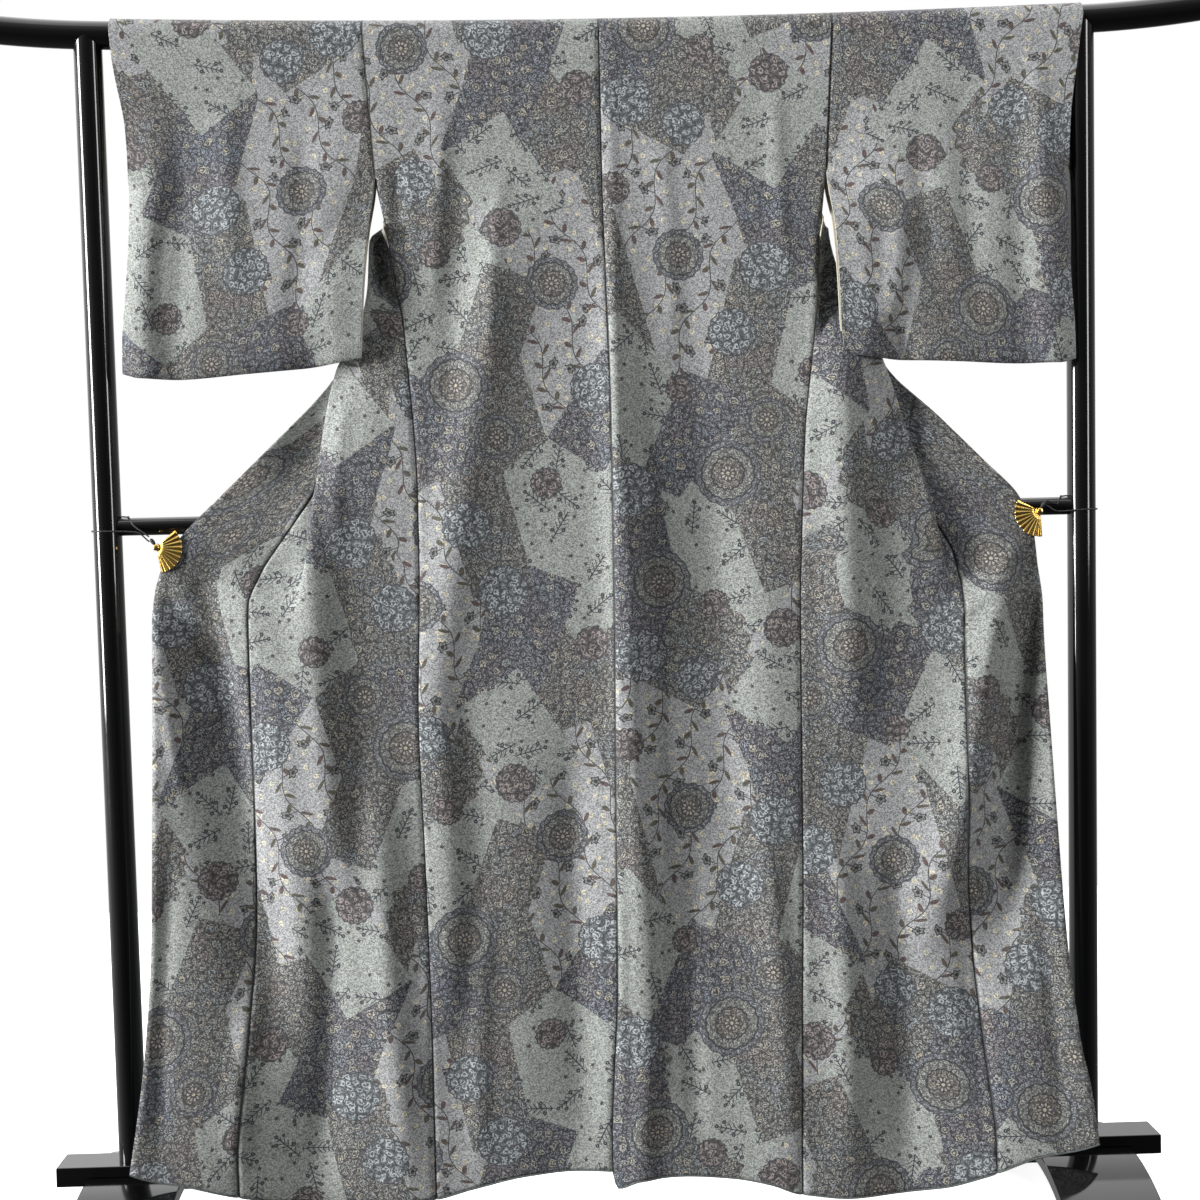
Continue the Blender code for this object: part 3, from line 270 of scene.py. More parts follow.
# Each sleeve: its inner and outer edges and how far apart its two layers hang, going down.
SLEEVE_COLUMNS = ("height", "inner", "outer", "apart")
SLEEVE = {
    -1: (
        (1.660, 0.3003, 0.634, 0.0408),
        (1.610, 0.2968, 0.630, 0.0400),
        (1.520, 0.2912, 0.615, 0.0340),
        (1.450, 0.2868, 0.612, 0.0280),
        (1.380, 0.2960, 0.613, 0.0230),
        (1.300, 0.3030, 0.618, 0.0180),
        (1.240, 0.3070, 0.624, 0.0140),
        (1.206, 0.3090, 0.625, 0.0110),
    ),
    1: (
        (1.660, 0.3283, 0.668, 0.0408),
        (1.610, 0.3258, 0.660, 0.0404),
        (1.520, 0.3202, 0.646, 0.0398),
        (1.450, 0.3158, 0.640, 0.0320),
        (1.380, 0.3210, 0.638, 0.0240),
        (1.300, 0.3260, 0.640, 0.0180),
        (1.240, 0.3280, 0.644, 0.0140),
        (1.206, 0.3320, 0.645, 0.0110),
    ),
}
SLEEVE_BOTTOM_COLUMNS = ("share", "height")
SLEEVE_BOTTOM = {
    -1: ((0.00, 1.210), (0.25, 1.199), (0.50, 1.193), (0.75, 1.188), (0.93, 1.191), (1.00, 1.197)),
    1: ((0.00, 1.204), (0.25, 1.195), (0.50, 1.191), (0.75, 1.187), (0.93, 1.187), (1.00, 1.192)),
}
SLEEVE_MOUTH = 1.430        # the mouth is open above this height and sewn shut below it
SLEEVE_FORWARD = {-1: 1.280, 1: 1.340}   # both layers are in front of the body below this height
SLEEVE_SWELLS = (           # soft upright folds near the mouth: share of the width, spread, depth
    (0.90, 0.070, 0.007),
    (0.78, 0.060, -0.004),
    (0.12, 0.060, 0.003),
)

# %% Clip sizes
# Fan clips: gilt metal fans on a pin at the cloth's edge, with a jaw behind the cloth. A cord ties
# each one to its post.
FAN_PIVOT = {-1: (-0.590, 0.966), 1: (0.596, 0.988)}    # x and height of each pin
FAN_OUTER = 0.0345          # reach of the ribs
FAN_RINGS = (0.0120, 0.016, 0.020, 0.025, 0.030, 0.0335)   # rows of points between the pin and the rim
FAN_START = {-1: 41.0, 1: 152.0}     # direction of the first rib, degrees from +X
FAN_SPAN = {-1: -122.0, 1: 123.0}
FAN_RIBS = 10
FAN_RIDGE = 0.0014          # from the valley of a pleat to its ridge
FAN_SCALLOP = 0.0006        # depth of the scallops along the rim
FAN_THICKNESS = 0.0010
FAN_STANDS_OFF = 0.0042     # from the middle of the cloth to the middle of the fan
PIN_RADIUS = 0.0042
PIN_SIDES = 40
PIN_STANDS_OFF = 0.0018     # from the fan's middle to the middle of the pin's head
PIN_HEAD = 0.0016
JAW_LENGTH = 0.026
JAW_WIDTH = 0.010
JAW_FRONT = -0.0129         # Y of the jaw's two faces
JAW_BACK = -0.0122
KNOT_HALF = (0.0052, 0.0028)         # half its length and half its thickness
KNOT_DIRECTION = {-1: 126.0, 1: 54.0}    # from the pin, degrees from +X
CORD_RADIUS = 0.0010

# %% [markdown]
# ## Creases
#
# Broad folds come from the way the cloth is held. The small creases are what makes silk look like silk,
# and soft swells a few centimetres wide give it its body. None of them is even, so each one is a line
# given one by one: from where it starts to where it fades, how far it bends sideways, how wide it is, and
# how far it stands towards the viewer.

# %% Creases
# top x and z, foot x and z, bend, width and depth, in millimetres
CREASES_MM = (
    (31, 1640, 14, 100, 0, 7, 4), (24, 1400, 46, 380, 6, 22, 10.5),
    (-35, 720, -30, 120, 4, 27, -10), (-120, 1380, -228, 690, 10, 28, 10),
    (-180, 1480, -188, 1080, -4, 26, -5.5), (330, 1310, 338, 680, 4, 33, 20),
    (400, 1260, 425, 1030, 6, 30, -16), (-345, 1240, -405, 1035, -6, 40, -19),
    (-385, 1020, -350, 480, 8, 30, 16), (-540, 950, -440, 300, -12, 34, -22),
    (556, 985, 435, 420, -12, 28, 19), (590, 930, 545, 380, 10, 27, -19),
    (-118, 1450, -135, 1190, 8, 12, 3.5), (26, 1100, 40, 780, -8, 12, 4),
    (52, 620, 45, 150, -10, 13, 4.5), (-300, 680, -275, 120, 8, 22, 8),
    (-372, 560, -392, 120, -8, 21, -7), (306, 600, 318, 120, -6, 20, 8),
    (392, 560, 402, 120, 6, 20, -7), (-505, 880, -450, 480, -10, 12, 4.5),
    (545, 870, 500, 460, 10, 12, -4.5), (-580, 945, -470, 800, 6, 9, 4.5),
    (-585, 915, -510, 700, -8, 8, -4), (-592, 905, -560, 620, 6, 8, 3.5),
    (583, 965, 470, 840, -8, 9, 4.5), (590, 940, 520, 720, 8, 8, -4),
    (596, 915, 570, 640, -6, 8, 3.5), (-330, 1170, -345, 960, 10, 13, 4.5),
    (-225, 780, -215, 300, -10, 27, 12), (-160, 480, -178, 120, 6, 16, 5),
    (120, 560, 118, 140, 10, 17, -5.5), (110, 1420, 175, 460, -12, 34, -5),
    (205, 600, 240, 120, -8, 16, 5.5), (475, 420, 500, 140, -10, 18, -6),
    (-470, 380, -500, 130, 10, 16, 5.5), (-580, 560, -600, 160, 6, 13, -5),
    (575, 520, 605, 150, -6, 13, -5), (90, 1500, 105, 1220, -6, 15, 3.5),
    (250, 1560, 262, 1300, 6, 13, 3.5), (-200, 1560, -215, 1280, -6, 15, 4),
    (-255, 1480, -248, 1330, 4, 11, -4), (-480, 1560, -470, 1300, 6, 18, 5),
    (-380, 1520, -395, 1240, -6, 17, -5), (-560, 1420, -575, 1230, 5, 11, -4),
    (600, 1600, 592, 1380, -4, 14, 5.5), (500, 1570, 515, 1260, 6, 17, -4.5),
    (405, 1400, 385, 1230, -6, 15, 6), (440, 1500, 452, 1300, 5, 14, -4.5),
)

# %% [markdown]
# ## Smooth curves through a table
#
# A table has a row only where the cloth changes. Between rows a smooth curve fills in, one that never
# swings past its neighbours, so a straight seam stays straight. The arithmetic runs on whole arrays of
# points at once, which is what makes a fine mesh quick.

# %% Reading the tables
def smooth(places, values, at):
    """Values at some places along a curve through rows of values."""
    places, values = np.asarray(places, float), np.asarray(values, float)
    if places[0] > places[-1]:
        places, values = places[::-1], values[::-1]
    wide = (-1,) + (1,) * (values.ndim - 1)
    step = np.diff(places).reshape(wide)
    rise = np.diff(values, axis=0) / step
    slope = np.concatenate((rise[:1], np.zeros_like(values[1:-1]), rise[-1:]))
    before, after = rise[:-1], rise[1:]
    same_way = before * after > 0.0
    total = np.where(same_way, before + after, 1.0)
    slope[1:-1] = np.where(same_way, 2.0 * before * after / total, 0.0)
    at = np.clip(np.asarray(at, float), places[0], places[-1])
    i = np.clip(np.searchsorted(places, at, side="right") - 1, 0, len(places) - 2)
    t = ((at - places[i]) / np.diff(places)[i])
    t = t.reshape(t.shape + (1,) * (values.ndim - 1))
    start, finish = slope[i] * step[i].reshape(t.shape), slope[i + 1] * step[i].reshape(t.shape)
    climb = values[i + 1] - values[i]
    return (values[i] + start * t + (3.0 * climb - 2.0 * start - finish) * t ** 2
            + (start + finish - 2.0 * climb) * t ** 3)


def read(columns, rows, name, at):
    """The named column of a table at places along its first column."""
    return smooth([row[0] for row in rows], [row[columns.index(name)] for row in rows], at)


def ease(low, high, value):
    """0 at low, 1 at high and an S-curve between them; low may be the greater."""
    t = np.clip((np.asarray(value, float) - low) / (high - low), 0.0, 1.0)
    return t * t * (3.0 - 2.0 * t)


def distances(points):
    """How far along a line each of its points lies."""
    steps = np.linalg.norm(np.diff(points, axis=0), axis=-1)
    return np.concatenate((np.zeros_like(steps[:1]), np.cumsum(steps, axis=0)))


print("hem height at the centre:", float(read(HEM_COLUMNS, HEM, "height", 0.0)), "m")

# %% [markdown]
# ## Where the cloth hangs
#
# These small functions are the whole drape: the bar's slow bow, the two layers that close in on each
# other below it, and the soft folds, which are ridges and troughs along lines. Every layer reads the
# same folds, so cloth that lies on cloth bends with it.

# %% The drape
BOW_FROM = 1.550            # rows above this height follow the bar's bow
POCKET = 0.022              # how far the fronts sink back under the armholes
POCKET_FOOT = {-1: 1.265, 1: 1.215}
POCKET_TOP = {-1: 1.400, 1: 1.430}
POCKET_ENDS = 0.050         # it deepens over this height at its foot and its top
POCKET_RIM = 0.008          # and over this width beside the back's edge
POCKET_WIDTH = 0.100
LEAN_HEIGHTS = (0.90, 0.10)    # the cloth comes forward between these heights
FEET_HEIGHTS = (0.50, 0.12)    # and over the feet between these
FEET_OUT = (0.40, 0.56)        # from this far out on
FOLD_COMES = (-0.02, 0.35)     # shares of its length over which a fold comes up
FOLD_GOES = (1.35, 0.75)       # and goes down
CREASE_COMES = (-0.10, 0.25)
CREASE_GOES = (1.10, 0.75)
CLIP_SPOTS = {-1: (-0.575, 0.968), 1: (0.582, 1.010)}   # x and height of each clip's grip
CLIP_FLAT = 0.030           # the cloth is flat this far round a grip
CLIP_FREE = 0.080           # and creased in full from here on


def side_edge(side, z):
    """Side edge of the body: straight along the armhole, then as the table says."""
    top, end = (read(FRONT_COLUMNS, FRONT[side], "edge", place) for place in (ARMHOLE_TOP, ARMHOLE_END))
    straight = end + (top - end) * (z - ARMHOLE_END) / (ARMHOLE_TOP - ARMHOLE_END)
    return np.where(z < ARMHOLE_END, read(FRONT_COLUMNS, FRONT[side], "edge", z), straight)


def bar_height(x):
    past = np.maximum(np.abs(x) - POST_TOP_X, 0.0)
    return BAR_MIDDLE + BAR_BOW * x * x + BAR_FLICK * past * past


def bow_lift(x, z):
    """Rows near the bar follow its bow."""
    return (bar_height(x) - BAR_MIDDLE) * ease(BOW_FROM, BAR_MIDDLE, z)


def fold_depth(x, z):
    """How far the broad folds bring the cloth towards the viewer."""
    total = np.zeros(np.broadcast(x, z).shape)
    for row in FOLDS_MM:
        top_x, top_z, foot_x, foot_z, width, depth = (value / MM for value in row)
        share = (top_z - z) / (top_z - foot_z)
        middle = top_x + (foot_x - top_x) * np.clip(share, 0.0, 1.0)
        fade = ease(*FOLD_COMES, share)
        if foot_z > 0.2:            # a fold that doesn't reach the hem fades out
            fade = fade * ease(*FOLD_GOES, share)
        total += depth * fade * np.exp(-((x - middle) / width) ** 2)
    return total


def crease_depth(x, z):
    """How far the small creases bring the cloth towards the viewer."""
    total = np.zeros(np.broadcast(x, z).shape)
    for row in CREASES_MM:
        top_x, top_z, foot_x, foot_z, bend, width, depth = (value / MM for value in row)
        along_x, along_z = foot_x - top_x, foot_z - top_z
        length = math.hypot(along_x, along_z)
        share = ((x - top_x) * along_x + (z - top_z) * along_z) / length ** 2
        away = ((x - top_x) * along_z - (z - top_z) * along_x) / length
        away = away - bend * 4.0 * share * (1.0 - share)
        fade = ease(*CREASE_COMES, share) * ease(*CREASE_GOES, share)
        total += depth * fade * np.exp(-(away / width) ** 2)
    for clip_x, clip_z in CLIP_SPOTS.values():
        total = total * ease(CLIP_FLAT, CLIP_FREE, np.hypot(x - clip_x, z - clip_z))
    return total


def lower_y(x, z):
    """The single layer below the clips: it moves forward over the feet."""
    over_feet = OVER_FEET * ease(*FEET_HEIGHTS, z) * ease(*FEET_OUT, np.abs(x))
    return LEVEL_OF_RAIL - LEANS_FORWARD * ease(*LEAN_HEIGHTS, z) - over_feet


def back_y(z):
    """The back, and the first layer of the fronts, from the bar down to the level of the rail."""
    return -CLOTH_RADIUS + (CLOTH_RADIUS + LEVEL_OF_RAIL) * ease(BAR_MIDDLE, TUCKED, z)


def behind_y(z):
    """The second layer of the fronts, which starts on the far side of the bar."""
    return CLOTH_RADIUS + (BEHIND_AT_RAIL - CLOTH_RADIUS) * ease(BAR_MIDDLE + 0.02, TUCKED + 0.02, z)


def pocket_depth(x, z):
    """How far the fronts sink back beside the back's edge, where it is always dark."""
    out = np.abs(x) - np.where(x < 0, side_edge(-1, z), side_edge(1, z))
    foot, top = (np.where(x < 0, ends[-1], ends[1]) for ends in (POCKET_FOOT, POCKET_TOP))
    window = np.clip((z - foot) / POCKET_ENDS, 0.0, 1.0) * np.clip((top - z) / POCKET_ENDS, 0.0, 1.0)
    return POCKET * window * ease(0.0, POCKET_RIM, out) * ease(POCKET_WIDTH, POCKET_WIDTH / 2, out)


def cloth_y(x, z, layer_y):
    """A layer with everything that all layers share: the lower part's lean, folds and creases."""
    lower = ease(PLEAT_OPENS, PLEAT_GONE, z)
    folds = fold_depth(x, z) + crease_depth(x, z) - pocket_depth(x, z)
    return layer_y + (lower_y(x, z) - LEVEL_OF_RAIL) * lower - folds


def lower_height(x, row_height):
    """Rows below the start bend so that the last one is the hem."""
    share = np.maximum(HEM_BEND_STARTS - row_height, 0.0) / HEM_BEND_STARTS
    return row_height + read(HEM_COLUMNS, HEM, "height", x) * share


# %% [markdown]
# ## One level cut through a front
#
# Seen from above, a front runs outwards from the side seam, turns back on itself behind the bar, and
# turns outwards again to the collar. A cut is that line at one height, laid as a pen would draw it: a
# length, a turn, a length. Cuts are drawn at the heights where the solid has its rows and blended
# between them, then spaced evenly, so every row of the mesh has the same number of points.

# %% The fronts
SLIT_OPENS = (0.004, 0.045)    # above the side seam's top, where the front's edge turns away
SLIT_FADE = 0.050              # and where the gap of a sewn seam begins
SHOULDER = (1.560, 1.635)      # heights over which the last layer turns back under the bar


def front_cut(side, z):
    """Level cut through one front: points (out, y) from the side edge to the end of the cloth.

    An angle of 0 runs outwards and one of half a turn runs back towards the middle.
    """
    edge = float(side_edge(side, z))
    run, turn, end = (float(read(FRONT_COLUMNS, FRONT[side], name, z)) for name in FRONT_COLUMNS[2:])
    seam_top = SIDE_SEAM_TOP[side]
    first, second = float(back_y(z)), float(behind_y(z))
    across = max(second - first - 2 * FOLD_RADIUS, 0.001)
    start_angle = math.pi * float(ease(*(seam_top + rise for rise in SLIT_OPENS), z))
    middle_angle = math.pi * (1.0 - float(ease(PLEAT_OPENS, PLEAT_GONE, z)))
    last_angle = math.pi * float(ease(*SHOULDER, z))
    out = edge + SEAM_GAP / 2 * float(ease(ARMHOLE_END, seam_top + SLIT_FADE, z))
    out += WALL * math.sin(start_angle)
    y = 0.0
    cut = [(out, y)]

    def lay(length, angle_from, angle_to, steps):
        nonlocal out, y
        for k in range(steps):
            angle = angle_from + (angle_to - angle_from) * (k + 0.5) / steps
            out += length / steps * math.cos(angle)
            y += length / steps * math.sin(angle)
            cut.append((out, y))

    corner_angle = (start_angle + middle_angle) / 2
    quarter = math.pi / 2 * FOLD_RADIUS
    lay(run, start_angle, start_angle, 3)
    lay(quarter, start_angle, corner_angle, 4)
    lay(across, corner_angle, corner_angle, 1)
    lay(quarter, corner_angle, middle_angle, 4)
    start_y = second - y if z > PLEAT_OPENS else first
    under = FOLD_RADIUS
    if math.cos(middle_angle) < -0.9:
        under = max(out - turn, FOLD_RADIUS)
    lay(under, middle_angle, middle_angle, 2)
    lay(2 * quarter, middle_angle, last_angle, 8)
    rest = FOLD_RADIUS
    if abs(math.cos(last_angle)) > 0.95:
        rest = max((end - out) / math.cos(last_angle), FOLD_RADIUS)
    lay(rest, last_angle, last_angle, 3)
    return [(out, start_y + y) for out, y in cut]


def cut_heights(side):
    top = SIDE_SEAM_TOP[side]
    opening = [1.420, top + 0.045, top + 0.032, top + 0.022, top + 0.012, top, 1.300]
    return [BAR_MIDDLE, 1.600, 1.565, 1.530, 1.490, ARMHOLE_END] + opening + list(SEAM_HEIGHTS)


def even_out(points, columns):
    """The same line with its points spaced evenly, and each one's distance along it."""
    along = distances(points)
    wanted = along[-1] * columns
    return np.stack([np.interp(wanted, along, points[:, k]) for k in range(2)], axis=1), wanted


def front_end_y(side, z):
    """Y of the last point of a front's cut."""
    places, cuts = front_cuts[side]
    return smooth(places, [cut[-1][1] for cut in cuts], z)


front_cuts = {side: (cut_heights(side), [front_cut(side, z) for z in cut_heights(side)])
              for side in (-1, 1)}
print("points in a cut:", len(front_cuts[1][1][0]))

# %% [markdown]
# ## Laying out the print
#
# The silk is printed with slanting patches: sage with small sprigs, lilac grey with flowering vines, and
# two dense carpets of little rosettes, one grey and one navy, with round medallions over the joins. The
# layout repeats along the bolt. Here it is a table of patches on one loom width, painted in order, and
# each point of the cloth learns how far inside each colour it lies. Such distances stay straight between
# points, so the shader can cut a crisp edge through a coarse mesh.

# %% The patches and medallions
REPEAT = 0.740              # metres along the bolt
PATCH_COLUMNS = ("colour", "across", "along", "half_width", "half_length", "degrees")
PATCHES = (
    ("lilac", 0.255, 0.120, 0.078, 0.200, 14),
    ("sage", 0.045, 0.235, 0.095, 0.125, -38),
    ("navy", 0.130, 0.085, 0.050, 0.105, 21),
    ("carpet", 0.185, 0.300, 0.042, 0.150, -15),
    ("sage", 0.315, 0.345, 0.062, 0.120, 41),
    ("navy", 0.250, 0.385, 0.046, 0.080, -24),
    ("lilac", 0.060, 0.540, 0.078, 0.165, -17),
    ("sage", 0.215, 0.545, 0.058, 0.095, 52),
    ("carpet", 0.150, 0.500, 0.040, 0.085, 20),
    ("navy", 0.330, 0.560, 0.052, 0.110, 12),
    ("sage", 0.130, 0.705, 0.050, 0.075, -33),
    ("navy", 0.010, 0.395, 0.044, 0.070, 33),
    ("carpet", 0.255, 0.665, 0.045, 0.070, -28),
)
MEDALLIONS = (              # across, along, radius and kind: 0 brown, 1 pale lattice, 2 rosette
    (0.262, 0.140, 0.034, 2),
    (0.345, 0.050, 0.022, 0),
    (0.072, 0.565, 0.035, 2),
    (0.088, 0.300, 0.021, 0),
    (0.268, 0.318, 0.019, 0),
    (0.148, 0.158, 0.034, 1),
    (0.338, 0.452, 0.036, 1),
    (0.030, 0.085, 0.023, 0),
    (0.205, 0.432, 0.044, 2),
    (0.226, 0.607, 0.020, 0),
    (0.020, 0.425, 0.033, 1),
    (0.135, 0.640, 0.026, 0),
    (0.325, 0.672, 0.035, 1),
    (0.195, 0.245, 0.032, 1),
    (0.300, 0.575, 0.043, 2),
    (0.152, 0.362, 0.030, 2),
    (0.250, 0.705, 0.029, 1),
)
MEDALLION_REACH = 0.008     # the mesh carries a medallion's place this far past its rim
COLOURED = ("sage", "navy", "lilac")


def inside_patch(patch, across, along):
    """How far inside a slanting oblong, in metres; negative outside it."""
    angle = math.radians(patch["degrees"])
    from_middle = across - patch["across"], along - patch["along"]
    sideways = from_middle[0] * math.cos(angle) + from_middle[1] * math.sin(angle)
    lengthways = from_middle[1] * math.cos(angle) - from_middle[0] * math.sin(angle)
    return np.minimum(patch["half_width"] - np.abs(sideways), patch["half_length"] - np.abs(lengthways))


def lay_print(across, along):
    """Each point's depth inside each colour, and its place, size and kind in the nearest medallion."""
    depths = {name: np.full(across.shape, -0.2) for name in COLOURED}
    along = np.mod(along, REPEAT)
    for row in PATCHES:
        patch = dict(zip(PATCH_COLUMNS, row))
        for shift in (-REPEAT, 0.0, REPEAT):
            depth = inside_patch(patch, across, along - shift)
            for name in COLOURED:
                depths[name] = (np.maximum(depths[name], depth) if name == patch["colour"]
                                else np.minimum(depths[name], -depth))
    best = np.full(across.shape, np.inf)
    medallion = np.zeros(across.shape + (3,))
    kind = np.zeros(across.shape)
    for middle_across, middle_along, radius, sort in MEDALLIONS:
        for shift in (-REPEAT, 0.0, REPEAT):
            dx, dy = across - middle_across, along - shift - middle_along
            away = np.hypot(dx, dy) - radius
            nearer = away < best
            best = np.where(nearer, away, best)
            medallion[nearer] = np.stack((dx, dy, 0.0 * dx + radius), axis=-1)[nearer]
            kind = np.where(nearer, sort, kind)
    medallion[best > MEDALLION_REACH] = (1.0, 0.0, 0.02)
    return np.stack([depths[name] for name in COLOURED], axis=-1), medallion, kind


print("patches:", len(PATCHES), "medallions:", len(MEDALLIONS))

# %% [markdown]
# ## From rows of points to cloth
#
# A panel is a grid of points. Joining each point to its neighbours gives the sheet, and a Solidify
# modifier gives it the thickness of crêpe and lining together. The sheet's own faces look outwards, so
# the far side of the thickened cloth can take the lining as its second material. Each point also
# remembers where it lay on the cut cloth, which is what the print is drawn with.

# %% Making a sheet
def grid_faces(rows, columns, first=0, closed=False):
    """Faces between the neighbours of a grid whose points are numbered row by row."""
    index = first + np.arange(rows * columns).reshape(rows, columns)
    if closed:
        index = np.concatenate((index, index[:, :1]), axis=1)
    corners = index[:-1, :-1], index[:-1, 1:], index[1:, 1:], index[1:, :-1]
    return np.stack(corners, axis=-1).reshape(-1, 4)


def flip(faces):
    return faces[:, ::-1]


def add_wall(piece, name, thickness):
    """Thickens a sheet by the same amount on both sides."""
    wall = piece.modifiers.new(name, 'SOLIDIFY')
    wall.thickness = thickness
    wall.offset = 0.0
    return wall


def add_attribute(mesh, name, values):
    flat = np.ascontiguousarray(values, dtype=np.float32)
    kind, field = ('FLOAT_VECTOR', "vector") if flat.shape[-1] == 3 else ('FLOAT', "value")
    mesh.attributes.new(name, kind, 'POINT').data.foreach_set(field, flat.ravel())


def make_sheet(name, points, faces, on_cloth, materials, wall=SILK, turned=False, start=0.0):
    """on_cloth is each point's place on the cut cloth: across, along, and its distance from a seam, where
    a seam shadow is painted.
    """
    mesh = bpy.data.meshes.new(name)
    mesh.from_pydata(points.reshape(-1, 3).tolist(), [], faces.tolist())
    cloth = on_cloth.reshape(-1, 3)
    across, along = cloth[:, 0], cloth[:, 1] + start
    if turned:
        across, along = LOOM - across, 2 * REPEAT - along
    fields, medallion, kind = lay_print(across, along)
    add_attribute(mesh, "on_cloth", np.stack((across, along, cloth[:, 2]), axis=-1))
    add_attribute(mesh, "fields", fields)
    add_attribute(mesh, "medallion", medallion)
    add_attribute(mesh, "medallion_kind", kind[:, None])
    mesh.shade_smooth()
    piece = add_object(name, mesh, *materials)
    layers = add_wall(piece, "wall", wall)
    layers.use_even_offset = False
    layers.material_offset = 1
    layers.material_offset_rim = 1
    return piece


FAR = 0.1                   # stands for a point with no seam nearby


def spacing(length, pitch, edges=(True, True)):
    """Shares from 0 to 1, about a pitch apart, with closer ones beside a sewn edge."""
    near = [0.0008, 0.0018, 0.0032]
    low = [0.0] + near * edges[0]
    high = [length] + [length - away for away in near] * edges[1]
    inner = np.arange(max(low) + pitch * 0.8, min(high) - pitch * 0.6, pitch)
    return np.unique(np.concatenate((low, inner, high))) / length


def seam_dip(away):
    """A sewn edge turns inwards over its last few millimetres."""
    return SEAM_DEPTH * np.exp(-(away / SEAM_WIDTH) ** 2)


# %% [markdown]
# ## The two body lengths
#
# A body panel is one length of cloth from the back hem, over the bar, to the front hem. Two are sewn
# together down the centre of the back. Each has a slit at the shoulder for the neck, so the strip
# nearest the centre ends behind the bar. The grid follows that: rows run along the cloth, and its
# inner columns stop where the neck begins.

# %% Body panels
NECK_END_DEGREES = 135.0    # the slit for the neck ends this far round the bar
BAR_DEGREES = 9.0           # between the rows that go over the bar
ROW_PITCH = 0.0060
INNER_PITCH = 0.0048        # between columns from the centre back to the neck point
OUTER_PITCH = 0.0033        # and from there to the side edge
OUTER_WIDTH = 0.215
inner_shares = spacing(NECK_HALF, INNER_PITCH, (True, False))
outer_shares = spacing(OUTER_WIDTH, OUTER_PITCH)[1:]
outer_columns = np.concatenate(([0.0], outer_shares))


def over_bar(last_row, stop):
    """Rows of cloth over the bar, above a last row of x, and the angle of each one."""
    angles = np.radians(np.arange(BAR_DEGREES, stop, BAR_DEGREES))[:, None]
    x = np.broadcast_to(last_row, (len(angles), len(last_row)))
    return angles, np.stack((x, -CLOTH_RADIUS * np.cos(angles) - 0.0 * x,
                             bar_height(x) + CLOTH_RADIUS * np.sin(angles)), axis=-1)


def make_body(side, word, materials):
    heights = np.linspace(0.0, BAR_MIDDLE, round(BAR_MIDDLE / ROW_PITCH) + 1)[:, None]
    start = read(CENTRE_COLUMNS, CENTRE, "x", heights) + side * SEAM_GAP / 2
    fade = ease(ARMHOLE_END, SIDE_SEAM_TOP[side] + SLIT_FADE, heights)
    stop = side * (side_edge(side, heights) - SEAM_GAP / 2 * fade)
    neck = start + side * NECK_HALF
    x = np.concatenate((start + (neck - start) * inner_shares,
                        neck + (stop - neck) * outer_shares), axis=1)
    z = lower_height(x, heights)
    y = cloth_y(x, z, back_y(z))
    y += seam_dip(np.abs(x - start)) + seam_dip(np.abs(stop - x)) * (heights < ARMHOLE_END)
    z = z + bow_lift(x, z)
    back = np.stack((x, y, z), axis=-1)
    sewn = np.minimum(np.abs(x - start), np.where(heights < SIDE_SEAM_TOP[side], np.abs(stop - x), FAR))
    sewn = np.where(heights > ARMHOLE_END, np.minimum(sewn, np.abs(stop - x)), sewn)
    back_cloth = np.stack((np.abs(x - start), z, sewn), axis=-1)

    angles, over = over_bar(x[-1], 180.0 + BAR_DEGREES / 2)
    from_centre = np.abs(over[:, :, 0] - start[-1])
    over_cloth = np.stack((from_centre, BAR_MIDDLE + CLOTH_RADIUS * angles + 0.0 * from_centre,
                           np.minimum(from_centre, np.abs(stop[-1] - over[:, :, 0]))), axis=-1)

    front_rows = np.linspace(BAR_MIDDLE, 0.0, round(BAR_MIDDLE / ROW_PITCH) + 1)[1:]
    cuts = smooth(*front_cuts[side], front_rows)
    front, front_cloth = [], []
    for height, cut in zip(front_rows, cuts):
        line, along = even_out(cut[::-1], outer_columns)
        x = side * line[:, 0]
        z = lower_height(x, height)
        y = cloth_y(x, z, line[:, 1])
        y += seam_dip(along[-1] - along) * (height < SIDE_SEAM_TOP[side])
        y += seam_dip(along) * (height < SEAM_HEIGHTS[0])
        z = z + bow_lift(x, z)
        front.append(np.stack((x, y, z), axis=-1))
        far = 2 * BAR_MIDDLE + math.pi * CLOTH_RADIUS - z
        by_side = along[-1] - along
        sewn = np.where((height < SIDE_SEAM_TOP[side]) | (height > ARMHOLE_END), by_side, FAR)
        front_cloth.append(np.stack((along, far, np.minimum(sewn, along)), axis=-1))

    full = inner_shares.size + outer_shares.size
    split = inner_shares.size - 1
    neck_rows = round(NECK_END_DEGREES / BAR_DEGREES)
    upper = np.concatenate((back, over[:neck_rows]))
    upper_cloth = np.concatenate((back_cloth, over_cloth[:neck_rows]))
    lower = np.concatenate((over[neck_rows:, split:], front))
    lower_cloth = np.concatenate((over_cloth[neck_rows:, split:], front_cloth))
    faces = grid_faces(len(upper), full)
    last = np.arange((len(upper) - 1) * full + split, len(upper) * full)
    first = len(upper) * full
    next_row = first + np.arange(full - split)
    join = np.stack((last[:-1], last[1:], next_row[1:], next_row[:-1]), axis=-1)
    faces = np.concatenate((faces, join, grid_faces(len(lower), full - split, first)))
    points = np.concatenate((upper.reshape(-1, 3), lower.reshape(-1, 3)))
    on_cloth = np.concatenate((upper_cloth.reshape(-1, 3), lower_cloth.reshape(-1, 3)))
    faces = flip(faces) if side < 0 else faces
    hems = [back[0], front[-1]]
    return make_sheet("silk_body_" + word, points, faces, on_cloth, materials, turned=side > 0), hems


